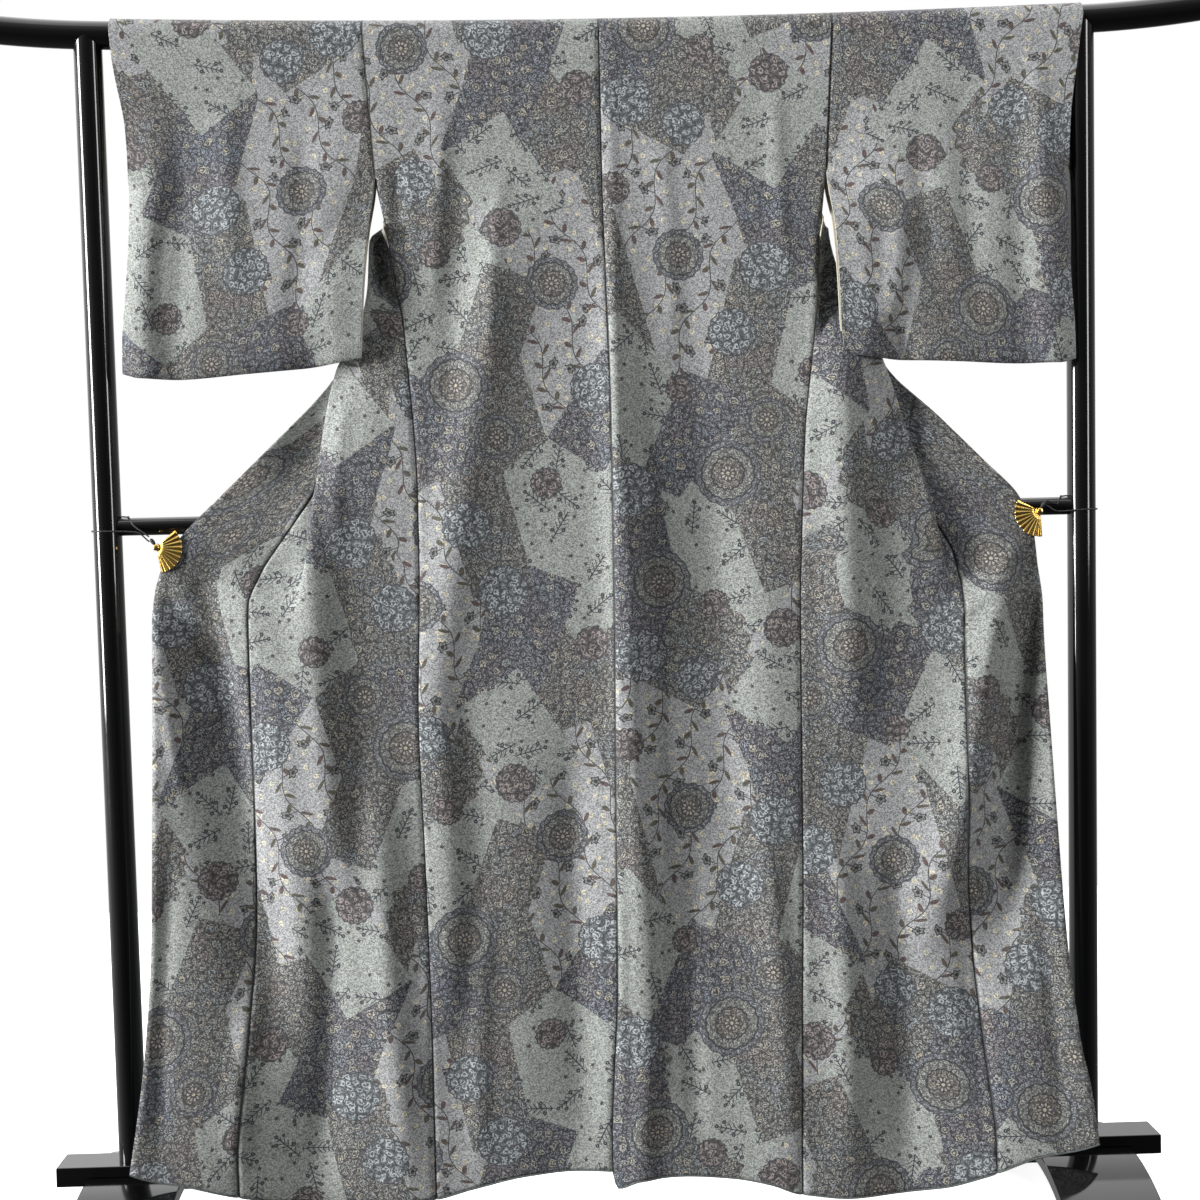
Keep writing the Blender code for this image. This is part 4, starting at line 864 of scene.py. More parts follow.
# %% [markdown]
# ## The okumi
#
# Each front is widened by a gore that runs from the hem up to a point in the collar seam. On the real
# garment it is half a loom width of the same silk. Here it starts from the last point of each front cut
# and ends at its own table, the collar's seam above the clip and the free edge below it.

# %% Okumi
OKUMI_TOP = 1.255
OKUMI_CUT = (0.130, 1.17)   # flat size: width and length
OKUMI_PITCH = 0.0045
OKUMI_LEAST = 0.0015        # width of the gore at its point
OKUMI_PRINT = 0.140         # where its outer edge lies across the bolt
okumi_shares = spacing(OKUMI_CUT[0], OKUMI_PITCH, (True, False))


def make_okumi(side, word, materials):
    heights = np.linspace(OKUMI_TOP, 0.0, round(OKUMI_TOP / ROW_PITCH) + 1)
    ends = smooth(*front_cuts[side], heights)[:, -1]
    start, layer = ends[:, :1] + SEAM_GAP, ends[:, 1:]
    stop = read(OKUMI_COLUMNS, OKUMI[side], "edge", heights)[:, None]
    stop = np.maximum(stop, start + OKUMI_LEAST)
    x = side * (start + (stop - start) * okumi_shares)
    z = lower_height(x, heights[:, None])
    y = cloth_y(x, z, layer) + seam_dip(np.abs(np.abs(x) - start))
    points = np.stack((x, y, z), axis=-1)
    # The third value is half the distance from the seam, so the painted seam shadow beside the okumi is
    # twice as wide.
    on_cloth = np.stack((OKUMI_PRINT + stop - np.abs(x), 2 * BAR_MIDDLE - z, 0.5 * (np.abs(x) - start)),
                        axis=-1)
    faces = grid_faces(len(heights), okumi_shares.size)
    faces = flip(faces) if side > 0 else faces
    okumi = make_sheet("silk_okumi_" + word, points, faces, on_cloth, materials,
                       turned=side < 0, start=0.3)
    return okumi, [points[-1]]


# %% [markdown]
# ## The sleeves
#
# A sleeve is a flat bag about half a metre deep, folded over the bar at its top. It is sewn to the body
# only beside the armhole: below that its inner edge is open, and its outer edge is open above, where
# the hand comes out, and sewn shut below. Each column of the grid is one loop round the bag.

# %% Sleeves
SLEEVE_ACROSS = 0.320       # the columns are spaced for this width
SLEEVE_PITCH = 0.0052
SLEEVE_ROWS = 84
SLEEVE_PRINT = 0.9          # where its loop starts along the bolt
SLEEVE_SEWN = 1.440         # the inner edge follows the armhole from here up
MOUTH_OPENS = 0.035         # over this height above the sewn part
SLEEVE_TURNS = 1.560        # both layers start to come forward here
SWELL_HEIGHTS = (1.60, 1.42)     # and the upright folds come up between these
OFF_SEAM = 0.3              # share of the width over which the sleeve leaves the body's layers
NEAR_MOUTH = (0.002, 0.004, 0.007, 0.011)    # closer columns at the outer edge, as shares of the width
NEAR_BOTTOM = (0.0008, 0.003, 0.006)         # and closer rows at the bottom, as shares of the height


def round_off(away):
    """0 at a closed edge, and 1 beyond the width over which it rounds off."""
    share = np.clip(away / SLEEVE_ROUNDING, 0.0, 1.0)
    return np.sqrt(np.maximum(1.0 - (1.0 - share) ** 2, 0.0))


def make_sleeve(side, word, materials):
    shares = np.concatenate((spacing(SLEEVE_ACROSS, SLEEVE_PITCH), 1.0 - np.array(NEAR_MOUTH)))
    shares = np.unique(shares)
    bottom = read(SLEEVE_BOTTOM_COLUMNS, SLEEVE_BOTTOM[side], "height", shares)
    rise = np.unique(np.concatenate((np.linspace(0.0, 1.0, SLEEVE_ROWS), NEAR_BOTTOM)))
    share = np.broadcast_to(shares, (rise.size, shares.size))
    height = bottom + (BAR_MIDDLE - bottom) * rise[:, None]
    inner, outer, apart = (read(SLEEVE_COLUMNS, SLEEVE[side], name, height)
                           for name in SLEEVE_COLUMNS[1:])
    by_armhole = ease(SLEEVE_SEWN, ARMHOLE_END, height)
    inner = inner + (side_edge(side, height) + SEAM_GAP - inner) * by_armhole
    x = side * (inner + (outer - inner) * share)
    shut_below = ease(SLEEVE_MOUTH + MOUTH_OPENS, SLEEVE_MOUTH, height)
    gap = apart / 2
    gap = gap * (1.0 + (round_off((1.0 - share) * (outer - inner)) - 1.0) * shut_below)
    gap = gap * round_off(height - bottom)
    middle = SLEEVE_LOW_Y + SLEEVE_LOW_TURN * share
    middle = middle * ease(SLEEVE_TURNS, SLEEVE_FORWARD[side], height)
    swell = sum(depth * np.exp(-((share - at) / width) ** 2) for at, width, depth in SLEEVE_SWELLS)
    swell = swell * ease(*SWELL_HEIGHTS, height)
    off_seam = ease(0.0, OFF_SEAM, share)
    away = np.maximum(off_seam, ease(ARMHOLE_END, SLEEVE_FORWARD[side] + 0.03, height))
    halves = []
    for sign in (-1, 1):
        body_y = back_y(height) if sign < 0 else behind_y(height)
        y = middle + sign * gap - swell
        y = body_y + (y - body_y) * away - crease_depth(x, height) * off_seam
        y = y - sign * seam_dip((outer - inner) * share) * (height > ARMHOLE_END)
        halves.append(np.stack((x, y, height + bow_lift(x, height)), axis=-1))
    over = over_bar(x[-1], 180.0)[1]
    loop = np.concatenate((halves[0], over, halves[1][:0:-1]))
    along = distances(loop)
    across = np.broadcast_to((outer - inner)[-1] * shares, along.shape)
    sewn = np.where(loop[:, :, 2] > ARMHOLE_END, across, FAR)
    on_cloth = np.stack((across, SLEEVE_PRINT + along, sewn), axis=-1)
    points = loop.transpose(1, 0, 2)
    faces = grid_faces(shares.size, len(loop), closed=True)
    faces = flip(faces) if side > 0 else faces
    return make_sheet("silk_sleeve_" + word, points, faces, on_cloth.transpose(1, 0, 2), materials,
                      turned=side < 0, start=0.2)


# %% [markdown]
# ## The collar
#
# The collar is one long band, folded in half lengthwise. It starts at one front's edge, goes up to the
# neck, round it and down the other side. Its seam line is read from the table and smoothed, and at each
# station a small U lies across it: out to the fold along one layer and back along the other.

# %% Collar
COLLAR_PITCH = 0.0065
SEAM_STATIONS = 50          # of the first, coarse line along the seam
LAYER_COLUMNS = 12          # on each flat layer of the band
COLLAR_STARTS = 0.0015      # from the seam to the band's first column
COLLAR_PRINT = 0.12         # where the band lies across the bolt


def soften(line, times):
    """Draws every inner point of a line towards its neighbours."""
    for _ in range(times):
        line[1:-1] = (line[:-2] + 2 * line[1:-1] + line[2:]) / 4
    return line


def seam_path():
    """Points (x, z) of the collar's seam from the left clip to the right one."""
    centre = float(read(CENTRE_COLUMNS, CENTRE, "x", BAR_MIDDLE))
    seam = [(-out, height) for height, out in COLLAR[-1]]
    top = BAR_MIDDLE + CLOTH_RADIUS * math.sin(math.radians(NECK_END_DEGREES)) - 0.003
    for side in (-1, 1):
        for share in np.linspace(1.0, 0.0, 4)[::-side]:
            angle = math.radians(NECK_TURN) * share
            seam.append((centre + side * (NECK_FLAT + NECK_CURVE * math.sin(angle)),
                         top - NECK_CURVE * (1.0 - math.cos(angle))))
    seam += [(out, height) for height, out in reversed(COLLAR[1])]
    lengths = distances(seam)
    coarse = soften(smooth(lengths, seam, np.linspace(0.0, lengths[-1], SEAM_STATIONS)), 2)
    lengths = distances(coarse)
    stations = round(lengths[-1] / COLLAR_PITCH)
    return centre, soften(smooth(lengths, coarse, np.linspace(0.0, lengths[-1], stations)), 12)


def behind_fronts(centre, x, z):
    """Where the collar's first layer hangs: a little behind the end of each front."""
    layer = np.where(x < centre, front_end_y(-1, z), front_end_y(1, z))
    return cloth_y(x, z, layer) + COLLAR_BEHIND


def make_collar(materials):
    centre, path = seam_path()
    ahead_of = np.concatenate((path[1:], path[-1:]))
    before = np.concatenate((path[:1], path[:-1]))
    run = ahead_of - before
    run /= np.linalg.norm(run, axis=1)[:, None]
    across = np.stack((run[:, 1], -run[:, 0]), axis=1)
    radius = COLLAR_LAYERS / 2
    flat = COLLAR_FOLDED - radius
    out = list(np.linspace(COLLAR_STARTS, flat, LAYER_COLUMNS))
    turn = np.radians(np.arange(22.5, 180.0, 22.5))
    reach = np.array(out + [flat + radius * math.sin(angle) for angle in turn] + out[::-1])
    depth = np.array([0.0] * len(out) + [radius - radius * math.cos(angle) for angle in turn]
                     + [2 * radius] * len(out))
    x = path[:, :1] + across[:, :1] * reach
    z = path[:, 1:] + across[:, 1:] * reach
    y = behind_fronts(centre, x, z) + depth
    points = np.stack((x, y, z), axis=-1)
    lengths = np.broadcast_to(distances(path)[:, None], x.shape)
    across_bolt = COLLAR_PRINT + np.broadcast_to(reach, x.shape)
    on_cloth = np.stack((across_bolt, lengths, 0.0 * x + FAR), axis=-1)
    faces = flip(grid_faces(len(path), reach.size))
    return make_sheet("silk_collar", points, faces, on_cloth, materials, wall=COLLAR_SILK)


# %% [markdown]
# ## The rolled hem
#
# The lining is cut a little longer than the silk and rolls out under the hem, where it takes the wear.
# It shows as a thin dark edge, so it is a small tube that follows the last row of each panel.

# %% Hem rolls
HEM_RADIUS = 0.0014
HEM_SIDES = 10
SMOOTH_ANGLE = 40.0         # degrees; edges sharper than this stay sharp


def circle(sides):
    """Directions (cosine, sine) round a circle."""
    angles = [2 * math.pi * n / sides for n in range(sides)]
    return [(math.cos(angle), math.sin(angle)) for angle in angles]


def join_rings(work, rings, ends=True):
    """Faces between neighbouring rings of corners, and one over each end."""
    for one, two in zip(rings, rings[1:]):
        for n in range(len(one)):
            nearby = (n + 1) % len(one)
            work.faces.new((one[n], one[nearby], two[nearby], two[n]))
    if ends:
        work.faces.new(rings[0])
        work.faces.new(rings[-1])


def finish_mesh(name, work, material):
    """Turns a bmesh into a named object."""
    work.normal_update()
    bmesh.ops.recalc_face_normals(work, faces=work.faces)
    mesh = bpy.data.meshes.new(name)
    work.to_mesh(mesh)
    work.free()
    mesh.shade_smooth()
    mesh.set_sharp_from_angle(angle=math.radians(SMOOTH_ANGLE))
    return add_object(name, mesh, material)


def make_hem_roll(name, line, material):
    line = np.array(line) - (0.0, 0.0, HEM_RADIUS * 0.5)
    run = np.gradient(line, axis=0)
    run /= np.linalg.norm(run, axis=1)[:, None]
    sideways = np.cross(run, (0.0, 0.0, 1.0))
    sideways /= np.linalg.norm(sideways, axis=1)[:, None]
    upwards = np.cross(sideways, run)
    work = bmesh.new()
    join_rings(work, [[work.verts.new(place + HEM_RADIUS * (across * one + up * two))
                       for across, up in circle(HEM_SIDES)]
                      for place, one, two in zip(line, sideways, upwards)])
    return finish_mesh(name, work, material)


# %% [markdown]
# ## The stand
#
# The stand is wood under black lacquer: round rails, saddle blocks and arched feet. The solids have the
# right shapes in few faces. Lacquer shows every facet in its reflections, so here the same shapes are
# turned with many sides and softly rounded edges.

# %% Tubes of the stand
TUBE_SIDES = 72


def make_tube(name, points, radius, material, fit=None, rounding=0.0):
    """A round bar along points (x, z), closed at both ends; fit puts an end ring against its seat."""
    if rounding:
        steps = np.radians(np.arange(15.0, 91.0, 15.0))
        ends = []
        for end, inward in ((points[0], points[1]), (points[-1], points[-2])):
            way = np.subtract(inward, end) / math.dist(inward, end)
            ends.append([tuple(np.add(end, way * rounding * (1.0 - math.sin(angle))))
                         for angle in steps[::-1]])
        points = ends[0] + points[1:-1] + ends[1][::-1]
        shrink = [rounding * (1.0 - math.cos(math.radians(90.0) - angle)) for angle in steps]
    work = bmesh.new()
    rings = []
    for k, (x, z) in enumerate(points):
        before, after = points[max(k - 1, 0)], points[min(k + 1, len(points) - 1)]
        length = math.dist(before, after)
        across = (-(after[1] - before[1]) / length, (after[0] - before[0]) / length)
        size = radius
        nearest_end = min(k, len(points) - 1 - k)
        if rounding and nearest_end < len(shrink):
            size -= shrink[::-1][nearest_end]
        ring = []
        for cosine, sine in circle(TUBE_SIDES):
            reach = size * cosine
            place = (x + across[0] * reach, size * sine, z + across[1] * reach)
            if fit and nearest_end == 0:
                place = fit(*place)
            ring.append(work.verts.new(place))
        rings.append(ring)
    join_rings(work, rings, ends=False)
    close_end(work, rings[0])
    close_end(work, rings[-1])
    return finish_mesh(name, work, material)


def close_end(work, ring):
    """Strips between the two points of each Y close an end ring, also where it is hollowed."""
    sides = len(ring)
    for n in range(-(sides // 4), sides // 4):
        corners = []
        for k in (n, n + 1, sides // 2 - n - 1, sides // 2 - n):
            if ring[k % sides] not in corners:
                corners.append(ring[k % sides])
        work.faces.new(corners)


def post_x(height):
    """The posts lean outwards a little."""
    share = (height - BLOCK_TOP) / (BAR_MIDDLE - BLOCK_TOP)
    return POST_FOOT_X + (POST_TOP_X - POST_FOOT_X) * share


def against_bar(x, y, z):
    """A post's foot stands on its block and its head is hollowed for the bar."""
    if z < RAIL_HEIGHT:
        return x, y, BLOCK_TOP + TOUCH
    return x, y, float(bar_height(x)) - math.sqrt((BAR_RADIUS + TOUCH) ** 2 - y * y)


def against_post(x, y, z):
    """The rail's ends are hollowed for the posts."""
    hollow = math.sqrt((POST_RADIUS + TOUCH) ** 2 - y * y)
    return math.copysign(post_x(z) - hollow, x), y, z


# %% [markdown]
# ## Blocks and feet
#
# A saddle block is a bar with a notch underneath that sits over the arched foot. The foot is a band bent
# to an arc: level under the block, and cut level where it meets the floor. Both are outlines pushed
# through their depth, with a Bevel to round the edges, because sharp edges never hold lacquer.

# %% Blocks and boards
BLOCK_EDGE = 0.0015         # radii of the rounded edges
BOARD_EDGE = 0.0020
ARC_STEPS = 44


def soften_edges(piece, width):
    bevel = piece.modifiers.new("rounded edges", 'BEVEL')
    bevel.width = width
    bevel.segments = 4
    bevel.limit_method = 'ANGLE'
    bevel.angle_limit = math.radians(SMOOTH_ANGLE)
    bevel.harden_normals = True
    return piece


def make_block(side, word, material):
    half = BLOCK_LENGTH / 2
    low = BLOCK_TOP - BLOCK_HEIGHT
    slot = BOARD_WIDTH / 2 + TOUCH
    shift = side * (BOARD_X - BLOCK_X)
    seat = BOARD_TOP + TOUCH
    outline = [(-half, low), (-half, BLOCK_TOP), (half, BLOCK_TOP), (half, low), (shift + slot, low),
               (shift + slot, seat), (shift - slot, seat), (shift - slot, low)]
    work = bmesh.new()
    face = work.faces.new([work.verts.new((side * BLOCK_X + x, -BLOCK_DEPTH / 2, z))
                           for x, z in outline])
    body = bmesh.ops.extrude_face_region(work, geom=[face])
    moved = [item for item in body["geom"] if isinstance(item, bmesh.types.BMVert)]
    bmesh.ops.translate(work, verts=moved, vec=(0.0, BLOCK_DEPTH, 0.0))
    return soften_edges(finish_mesh("lacquered_block_" + word, work, material), BLOCK_EDGE)


def make_board(side, word, material):
    level = BLOCK_DEPTH / 2
    reach = BOARD_REACH - level
    radius = (reach ** 2 + BOARD_TOP ** 2) / (2 * BOARD_TOP)

    def arc(size):
        """Half an arc from the level middle out to the floor."""
        end = math.acos((radius - BOARD_TOP) / size)
        return [(level + size * math.sin(end * k / ARC_STEPS),
                 BOARD_TOP - radius + size * math.cos(end * k / ARC_STEPS)) for k in range(ARC_STEPS + 1)]

    outside, inside = arc(radius), arc(radius - BOARD_THICKNESS)
    profile = outside + inside[::-1]
    profile += [(-y, z) for y, z in profile[::-1]]
    work = bmesh.new()
    left, right = ([work.verts.new((side * BOARD_X + x, y, z)) for y, z in profile]
                   for x in (-BOARD_WIDTH / 2, BOARD_WIDTH / 2))
    count = len(profile)
    join_rings(work, (left, right), ends=False)
    quarter = len(outside)
    far = 2 * quarter
    for ring in (left, right):
        for k in range(quarter - 1):
            work.faces.new((ring[k], ring[k + 1], ring[far - 2 - k], ring[far - 1 - k]))
            work.faces.new((ring[far + k], ring[far + k + 1], ring[count - 2 - k], ring[count - 1 - k]))
        work.faces.new((ring[0], ring[far - 1], ring[far], ring[count - 1]))
    return soften_edges(finish_mesh("lacquered_foot_" + word, work, material), BOARD_EDGE)


# %% [markdown]
# ## The fan clips
#
# Each front is held out by a clip with a small gilt fan. The fan is a pleated sector of sheet metal that
# turns on a pin, a flat jaw pinches the collar from behind, and a thin cord ties the clip to its post.
# The ribs are the fan's ornament, so its sheet goes up and down once for every rib.

# %% Fans, pins and jaws
def fan_y(side, z):
    """The fan is flat: it leans with the cloth from its top to its foot."""
    pivot_x, pivot_z = FAN_PIVOT[side]
    low, high = pivot_z - FAN_OUTER, pivot_z + 0.6 * FAN_OUTER
    low_y, high_y = (float(front_end_y(side, place))
                     + float((lower_y(pivot_x, place) - LEVEL_OF_RAIL)
                             * ease(PLEAT_OPENS, PLEAT_GONE, place) - fold_depth(pivot_x, place))
                     for place in (low, high))
    return low_y + (high_y - low_y) * (z - low) / (high - low) - FAN_STANDS_OFF


def make_fan(side, word, gold):
    pivot_x, pivot_z = FAN_PIVOT[side]
    steps = 12 * FAN_RIBS
    reaches = [PIN_RADIUS + TOUCH, *FAN_RINGS, FAN_OUTER]
    points = []
    for reach in reaches:
        for k in range(steps + 1):
            angle = math.radians(FAN_START[side] + FAN_SPAN[side] * k / steps)
            wave = math.cos(2 * math.pi * FAN_RIBS * k / steps)
            rise = -FAN_RIDGE * (reach / FAN_OUTER) * math.copysign(abs(wave) ** 0.7, wave) / 2
            on_rim = FAN_SCALLOP * (reach == FAN_OUTER)
            size = reach - on_rim + on_rim * abs(math.sin(math.pi * FAN_RIBS * k / steps))
            z = pivot_z + size * math.sin(angle)
            points.append((pivot_x + size * math.cos(angle), fan_y(side, z) - rise, z))
    mesh = bpy.data.meshes.new("gilt_fan_" + word)
    mesh.from_pydata(points, [], grid_faces(len(reaches), steps + 1).tolist())
    mesh.shade_smooth()
    fan = add_object("gilt_fan_" + word, mesh, gold)
    add_wall(fan, "sheet metal", FAN_THICKNESS)
    return fan


def make_pin(side, word, gold):
    """The pin that the fan turns on, with a low round head towards the viewer."""
    pivot_x, pivot_z = FAN_PIVOT[side]
    front = fan_y(side, pivot_z) - PIN_STANDS_OFF
    profile = [(math.sin(angle), front + PIN_HEAD / 2 - PIN_HEAD * math.cos(angle))
               for angle in np.radians(np.linspace(8.0, 90.0, 8))]
    profile.append((1.0, JAW_FRONT - TOUCH))
    work = bmesh.new()
    join_rings(work, [[work.verts.new((pivot_x + share * PIN_RADIUS * cosine, y,
                                       pivot_z + share * PIN_RADIUS * sine))
                       for cosine, sine in circle(PIN_SIDES)] for share, y in profile])
    return finish_mesh("gilt_pin_" + word, work, gold)


def make_jaw(side, word, gold):
    """The flat jaw behind the collar: a strip with round ends, from the pin inwards."""
    pivot_x, pivot_z = FAN_PIVOT[side]
    angle = math.radians(FAN_START[side] + FAN_SPAN[side] / 2)
    outline = []
    for end, start in ((JAW_LENGTH - JAW_WIDTH / 2, -90.0), (0.0, 90.0)):
        for step in range(19):
            turn = math.radians(start + 10.0 * step)
            outline.append((end + JAW_WIDTH / 2 * math.cos(turn), JAW_WIDTH / 2 * math.sin(turn)))
    work = bmesh.new()
    join_rings(work, [[work.verts.new((pivot_x + a * math.cos(angle) - b * math.sin(angle), y,
                                       pivot_z + a * math.sin(angle) + b * math.cos(angle)))
                       for a, b in outline] for y in (JAW_FRONT, JAW_BACK)])
    return finish_mesh("gilt_jaw_" + word, work, gold)


# %% [markdown]
# ## The cords
#
# A twisted cord is tied to each clip. It goes once round the post and over the rail's end, and comes
# back to its own knot, so its route is a short list of points read off how such a cord would run. The
# knot is a small tight ball.

# %% Cords and knots
CORD_SMOOTHING = 5


def knot_place(side):
    """Middle of the knot: just off the pin, behind the fan."""
    pivot_x, pivot_z = FAN_PIVOT[side]
    direction = math.radians(KNOT_DIRECTION[side])
    reach = PIN_RADIUS + TOUCH + KNOT_HALF[0]
    y = (fan_y(side, pivot_z) + JAW_FRONT) / 2
    return pivot_x + reach * math.cos(direction), y, pivot_z + reach * math.sin(direction)


def make_knot(side, word, cord):
    x, y, z = knot_place(side)
    direction = math.radians(KNOT_DIRECTION[side])
    work = bmesh.new()
    bmesh.ops.create_uvsphere(work, u_segments=40, v_segments=24, radius=1.0)
    for vert in work.verts:
        across, depth, along = vert.co
        turn = math.atan2(depth, across) + 3.0 * along
        groove = 1.0 - 0.10 * (0.5 + 0.5 * math.cos(4.0 * turn)) * (1.0 - along * along)
        along *= KNOT_HALF[0]
        across *= KNOT_HALF[1] * groove
        depth *= KNOT_HALF[1] * groove
        vert.co = (x + along * math.cos(direction) - across * math.sin(direction), y + depth,
                   z + along * math.sin(direction) + across * math.cos(direction))
    return finish_mesh("tied_knot_" + word, work, cord)


def make_cord(side, word, cord):
    """From the knot to the post, once round it, over the rail and back down to the knot."""
    x, y, z = knot_place(side)
    ring_z = RAIL_HEIGHT - RAIL_RADIUS / 2 + 0.0005
    ring = POST_RADIUS + 1.8 * CORD_RADIUS
    round_rail = RAIL_RADIUS + 2.0 * CORD_RADIUS
    over = RAIL_HEIGHT + round_rail
    centre = side * post_x(RAIL_HEIGHT)
    leave = KNOT_HALF[1] + 1.6 * CORD_RADIUS
    route = [(x + side * leave, y, z), (x + side * (leave + 0.018), y - 0.0005, ring_z - 0.002)]
    for degrees in range(-90, 121, 30):
        angle = math.radians(degrees)
        climb = float(ease(-10.0, 120.0, degrees)) * (over - ring_z)
        route.append((centre + side * ring * math.cos(angle), ring * math.sin(angle), ring_z + climb))
    beside_post = side * (post_x(over) - POST_RADIUS)
    for degrees, away in ((-20, 0.007), (15, 0.010), (50, 0.014), (80, 0.018)):
        angle = math.radians(degrees)
        route.append((beside_post - side * away, -round_rail * math.sin(angle),
                      RAIL_HEIGHT + round_rail * math.cos(angle)))
    route.append((x + side * 0.0045, y - 0.0005, z + leave + 0.0022))
    curve = bpy.data.curves.new("tied_cord_" + word, 'CURVE')
    curve.dimensions = '3D'
    curve.bevel_depth = CORD_RADIUS
    curve.bevel_resolution = 5
    curve.use_fill_caps = True
    count = CORD_SMOOTHING * (len(route) - 1) + 1
    fine = smooth(range(len(route)), route, np.linspace(0.0, len(route) - 1.0, count))
    line = curve.splines.new('POLY')
    line.points.add(count - 1)
    for point, place in zip(line.points, fine):
        point.co = (*place, 1.0)
    print(word, "cord:", round(float(distances(fine)[-1]), 3), "m")
    return add_object("tied_cord_" + word, curve, cord)


# %% [markdown]
# ## Colours and shader nodes
#
# Colours are written as the sRGB hex values that a picture shows, and one function turns them into the
# linear values that shaders take. Another adds a node: its settings are attributes, and its inputs are
# values, sockets or earlier nodes, whose first output is used.

# %% Helpers for materials
def hex_colour(code):
    """An sRGB hex colour as the linear colour that a shader takes."""
    channels = [int(code[k:k + 2], 16) / 255.0 for k in (1, 3, 5)]
    return tuple(c / 12.92 if c <= 0.04045 else ((c + 0.055) / 1.055) ** 2.4 for c in channels) + (1.0,)


def set_inputs(tree, node, inputs):
    """Fills a node's inputs, by number or by name."""
    for key, value in (inputs.items() if isinstance(inputs, dict) else enumerate(inputs)):
        if isinstance(value, bpy.types.Node):
            value = value.outputs[0]
        if isinstance(value, bpy.types.NodeSocket):
            tree.links.new(value, node.inputs[key])
        elif value is not None:
            node.inputs[key].default_value = value


def add_node(tree, kind, inputs=(), **settings):
    node = tree.nodes.new("ShaderNode" + kind)
    for name, value in settings.items():
        setattr(node, name, value)
    set_inputs(tree, node, inputs)
    return node


def new_material(name, roughness, metallic=0.0, colour="#808080"):
    material = bpy.data.materials.new(name)
    material.use_nodes = True
    tree = material.node_tree
    shader = tree.nodes["Principled BSDF"]
    set_inputs(tree, shader, {"Base Color": hex_colour(colour), "Roughness": roughness,
                              "Metallic": metallic})
    return material, tree, shader


def away_from(tree, value, middle):
    """How far a value lies from a middle one, to either side."""
    gap = add_node(tree, "Math", [value, middle], operation='SUBTRACT')
    return add_node(tree, "Math", [gap], operation='ABSOLUTE')


def waves(tree, angle, count):
    """A cosine with so many waves round a centre."""
    turned = add_node(tree, "Math", [angle, count], operation='MULTIPLY')
    return add_node(tree, "Math", [turned], operation='COSINE')


def speckled(tree, colour, height, *span):
    """The colour, darker and lighter with the height of a grain."""
    speck = add_node(tree, "MapRange", [height, *span])
    grey = add_node(tree, "CombineXYZ", [speck, speck, speck])
    return add_node(tree, "VectorMath", [colour, grey], operation='MULTIPLY').outputs[0]


def paint(tree, colour, coats):
    """Lays colours over each other, each one where its mask is 1."""
    for mask, over in coats:
        over = hex_colour(over) if isinstance(over, str) else over
        colour = hex_colour(colour) if isinstance(colour, str) else colour
        colour = add_node(tree, "Mix", {0: mask, 6: colour, 7: over}, data_type='RGBA').outputs[2]
    return colour


# %% [markdown]
# ## Motifs of the print
#
# A shader has no pen, only distances. A scattered motif takes its place from a Voronoi texture, which
# gives each cell a centre and a random number: measured from that centre and turned by that number, a
# stem is a small distance from a line and a petal is a radius that waves with the angle. All lengths are
# millimetres on the cloth. Lines finer than about 0.8 mm would vanish in the picture, so none is finer.

# %% Sprigs and dots on sage
SPRIG_CELL = 48.0
DOT_CELL = 27.0
RING_CELL = 21.0
BARB = 3.4                  # half the distance between the barbs of a sprig


def scatter(tree, place, cell, evenness):
    """Coordinates round the nearest cell's centre, turned at random, and the cell's random colour."""
    add = partial(add_node, tree)
    cells = add("TexVoronoi", {"Vector": place, "Scale": 1.0 / cell, "Randomness": evenness},
                voronoi_dimensions='2D')
    chance = add("SeparateColor", [cells.outputs["Color"]])
    local = add("VectorMath", [place, cells.outputs["Position"]], operation='SUBTRACT')
    angle = add("Math", [chance.outputs[0], 2 * math.pi], operation='MULTIPLY')
    local = add("VectorRotate", {"Vector": local, "Angle": angle}, rotation_type='Z_AXIS')
    return local, chance


def polar(tree, local):
    """Distance from the centre and the angle round it."""
    add = partial(add_node, tree)
    radius = add("VectorMath", [local], operation='LENGTH').outputs["Value"]
    parts = add("SeparateXYZ", [local])
    angle = add("Math", [parts.outputs[1], parts.outputs[0]], operation='ARCTAN2')
    return radius, angle


def sprigs(tree, place):
    """Little ferns: a stem with barbs that slant up on both sides, and a bud on top."""
    add = partial(add_node, tree)
    local, chance = scatter(tree, place, SPRIG_CELL, 0.5)
    parts = add("SeparateXYZ", [local])
    sideways = add("Math", [parts.outputs[0]], operation='ABSOLUTE')
    height = add("Math", [parts.outputs[1]], operation='ABSOLUTE')
    slant = add("Math", [sideways, -0.9, parts.outputs[1]], operation='MULTIPLY_ADD')
    barb = add("MapRange", [add("Math", [slant, BARB], operation='PINGPONG'), 1.1, 0.5])
    spread = add("Math", [height, 0.30, sideways], operation='MULTIPLY_ADD')
    barb = add("Math", [barb, add("MapRange", [spread, 9.4, 8.6])], operation='MULTIPLY')
    stem = add("MapRange", [sideways, 1.0, 0.5])
    sprig = add("Math", [barb, stem], operation='MAXIMUM')
    sprig = add("Math", [sprig, add("MapRange", [height, 21.0, 20.0])], operation='MULTIPLY')
    for bud in ((0.0, 21.5, 0.0), (7.5, 13.0, 0.0), (-7.0, -4.0, 0.0), (6.5, -11.0, 0.0)):
        away = add("VectorMath", [local, bud], operation='DISTANCE').outputs["Value"]
        ring = add("MapRange", [away_from(tree, away, 1.7), 1.3, 0.7])
        sprig = add("Math", [sprig, ring], operation='MAXIMUM')
    shown = add("Math", [chance.outputs[1], 0.25], operation='GREATER_THAN')
    return add("Math", [sprig, shown], operation='MULTIPLY')


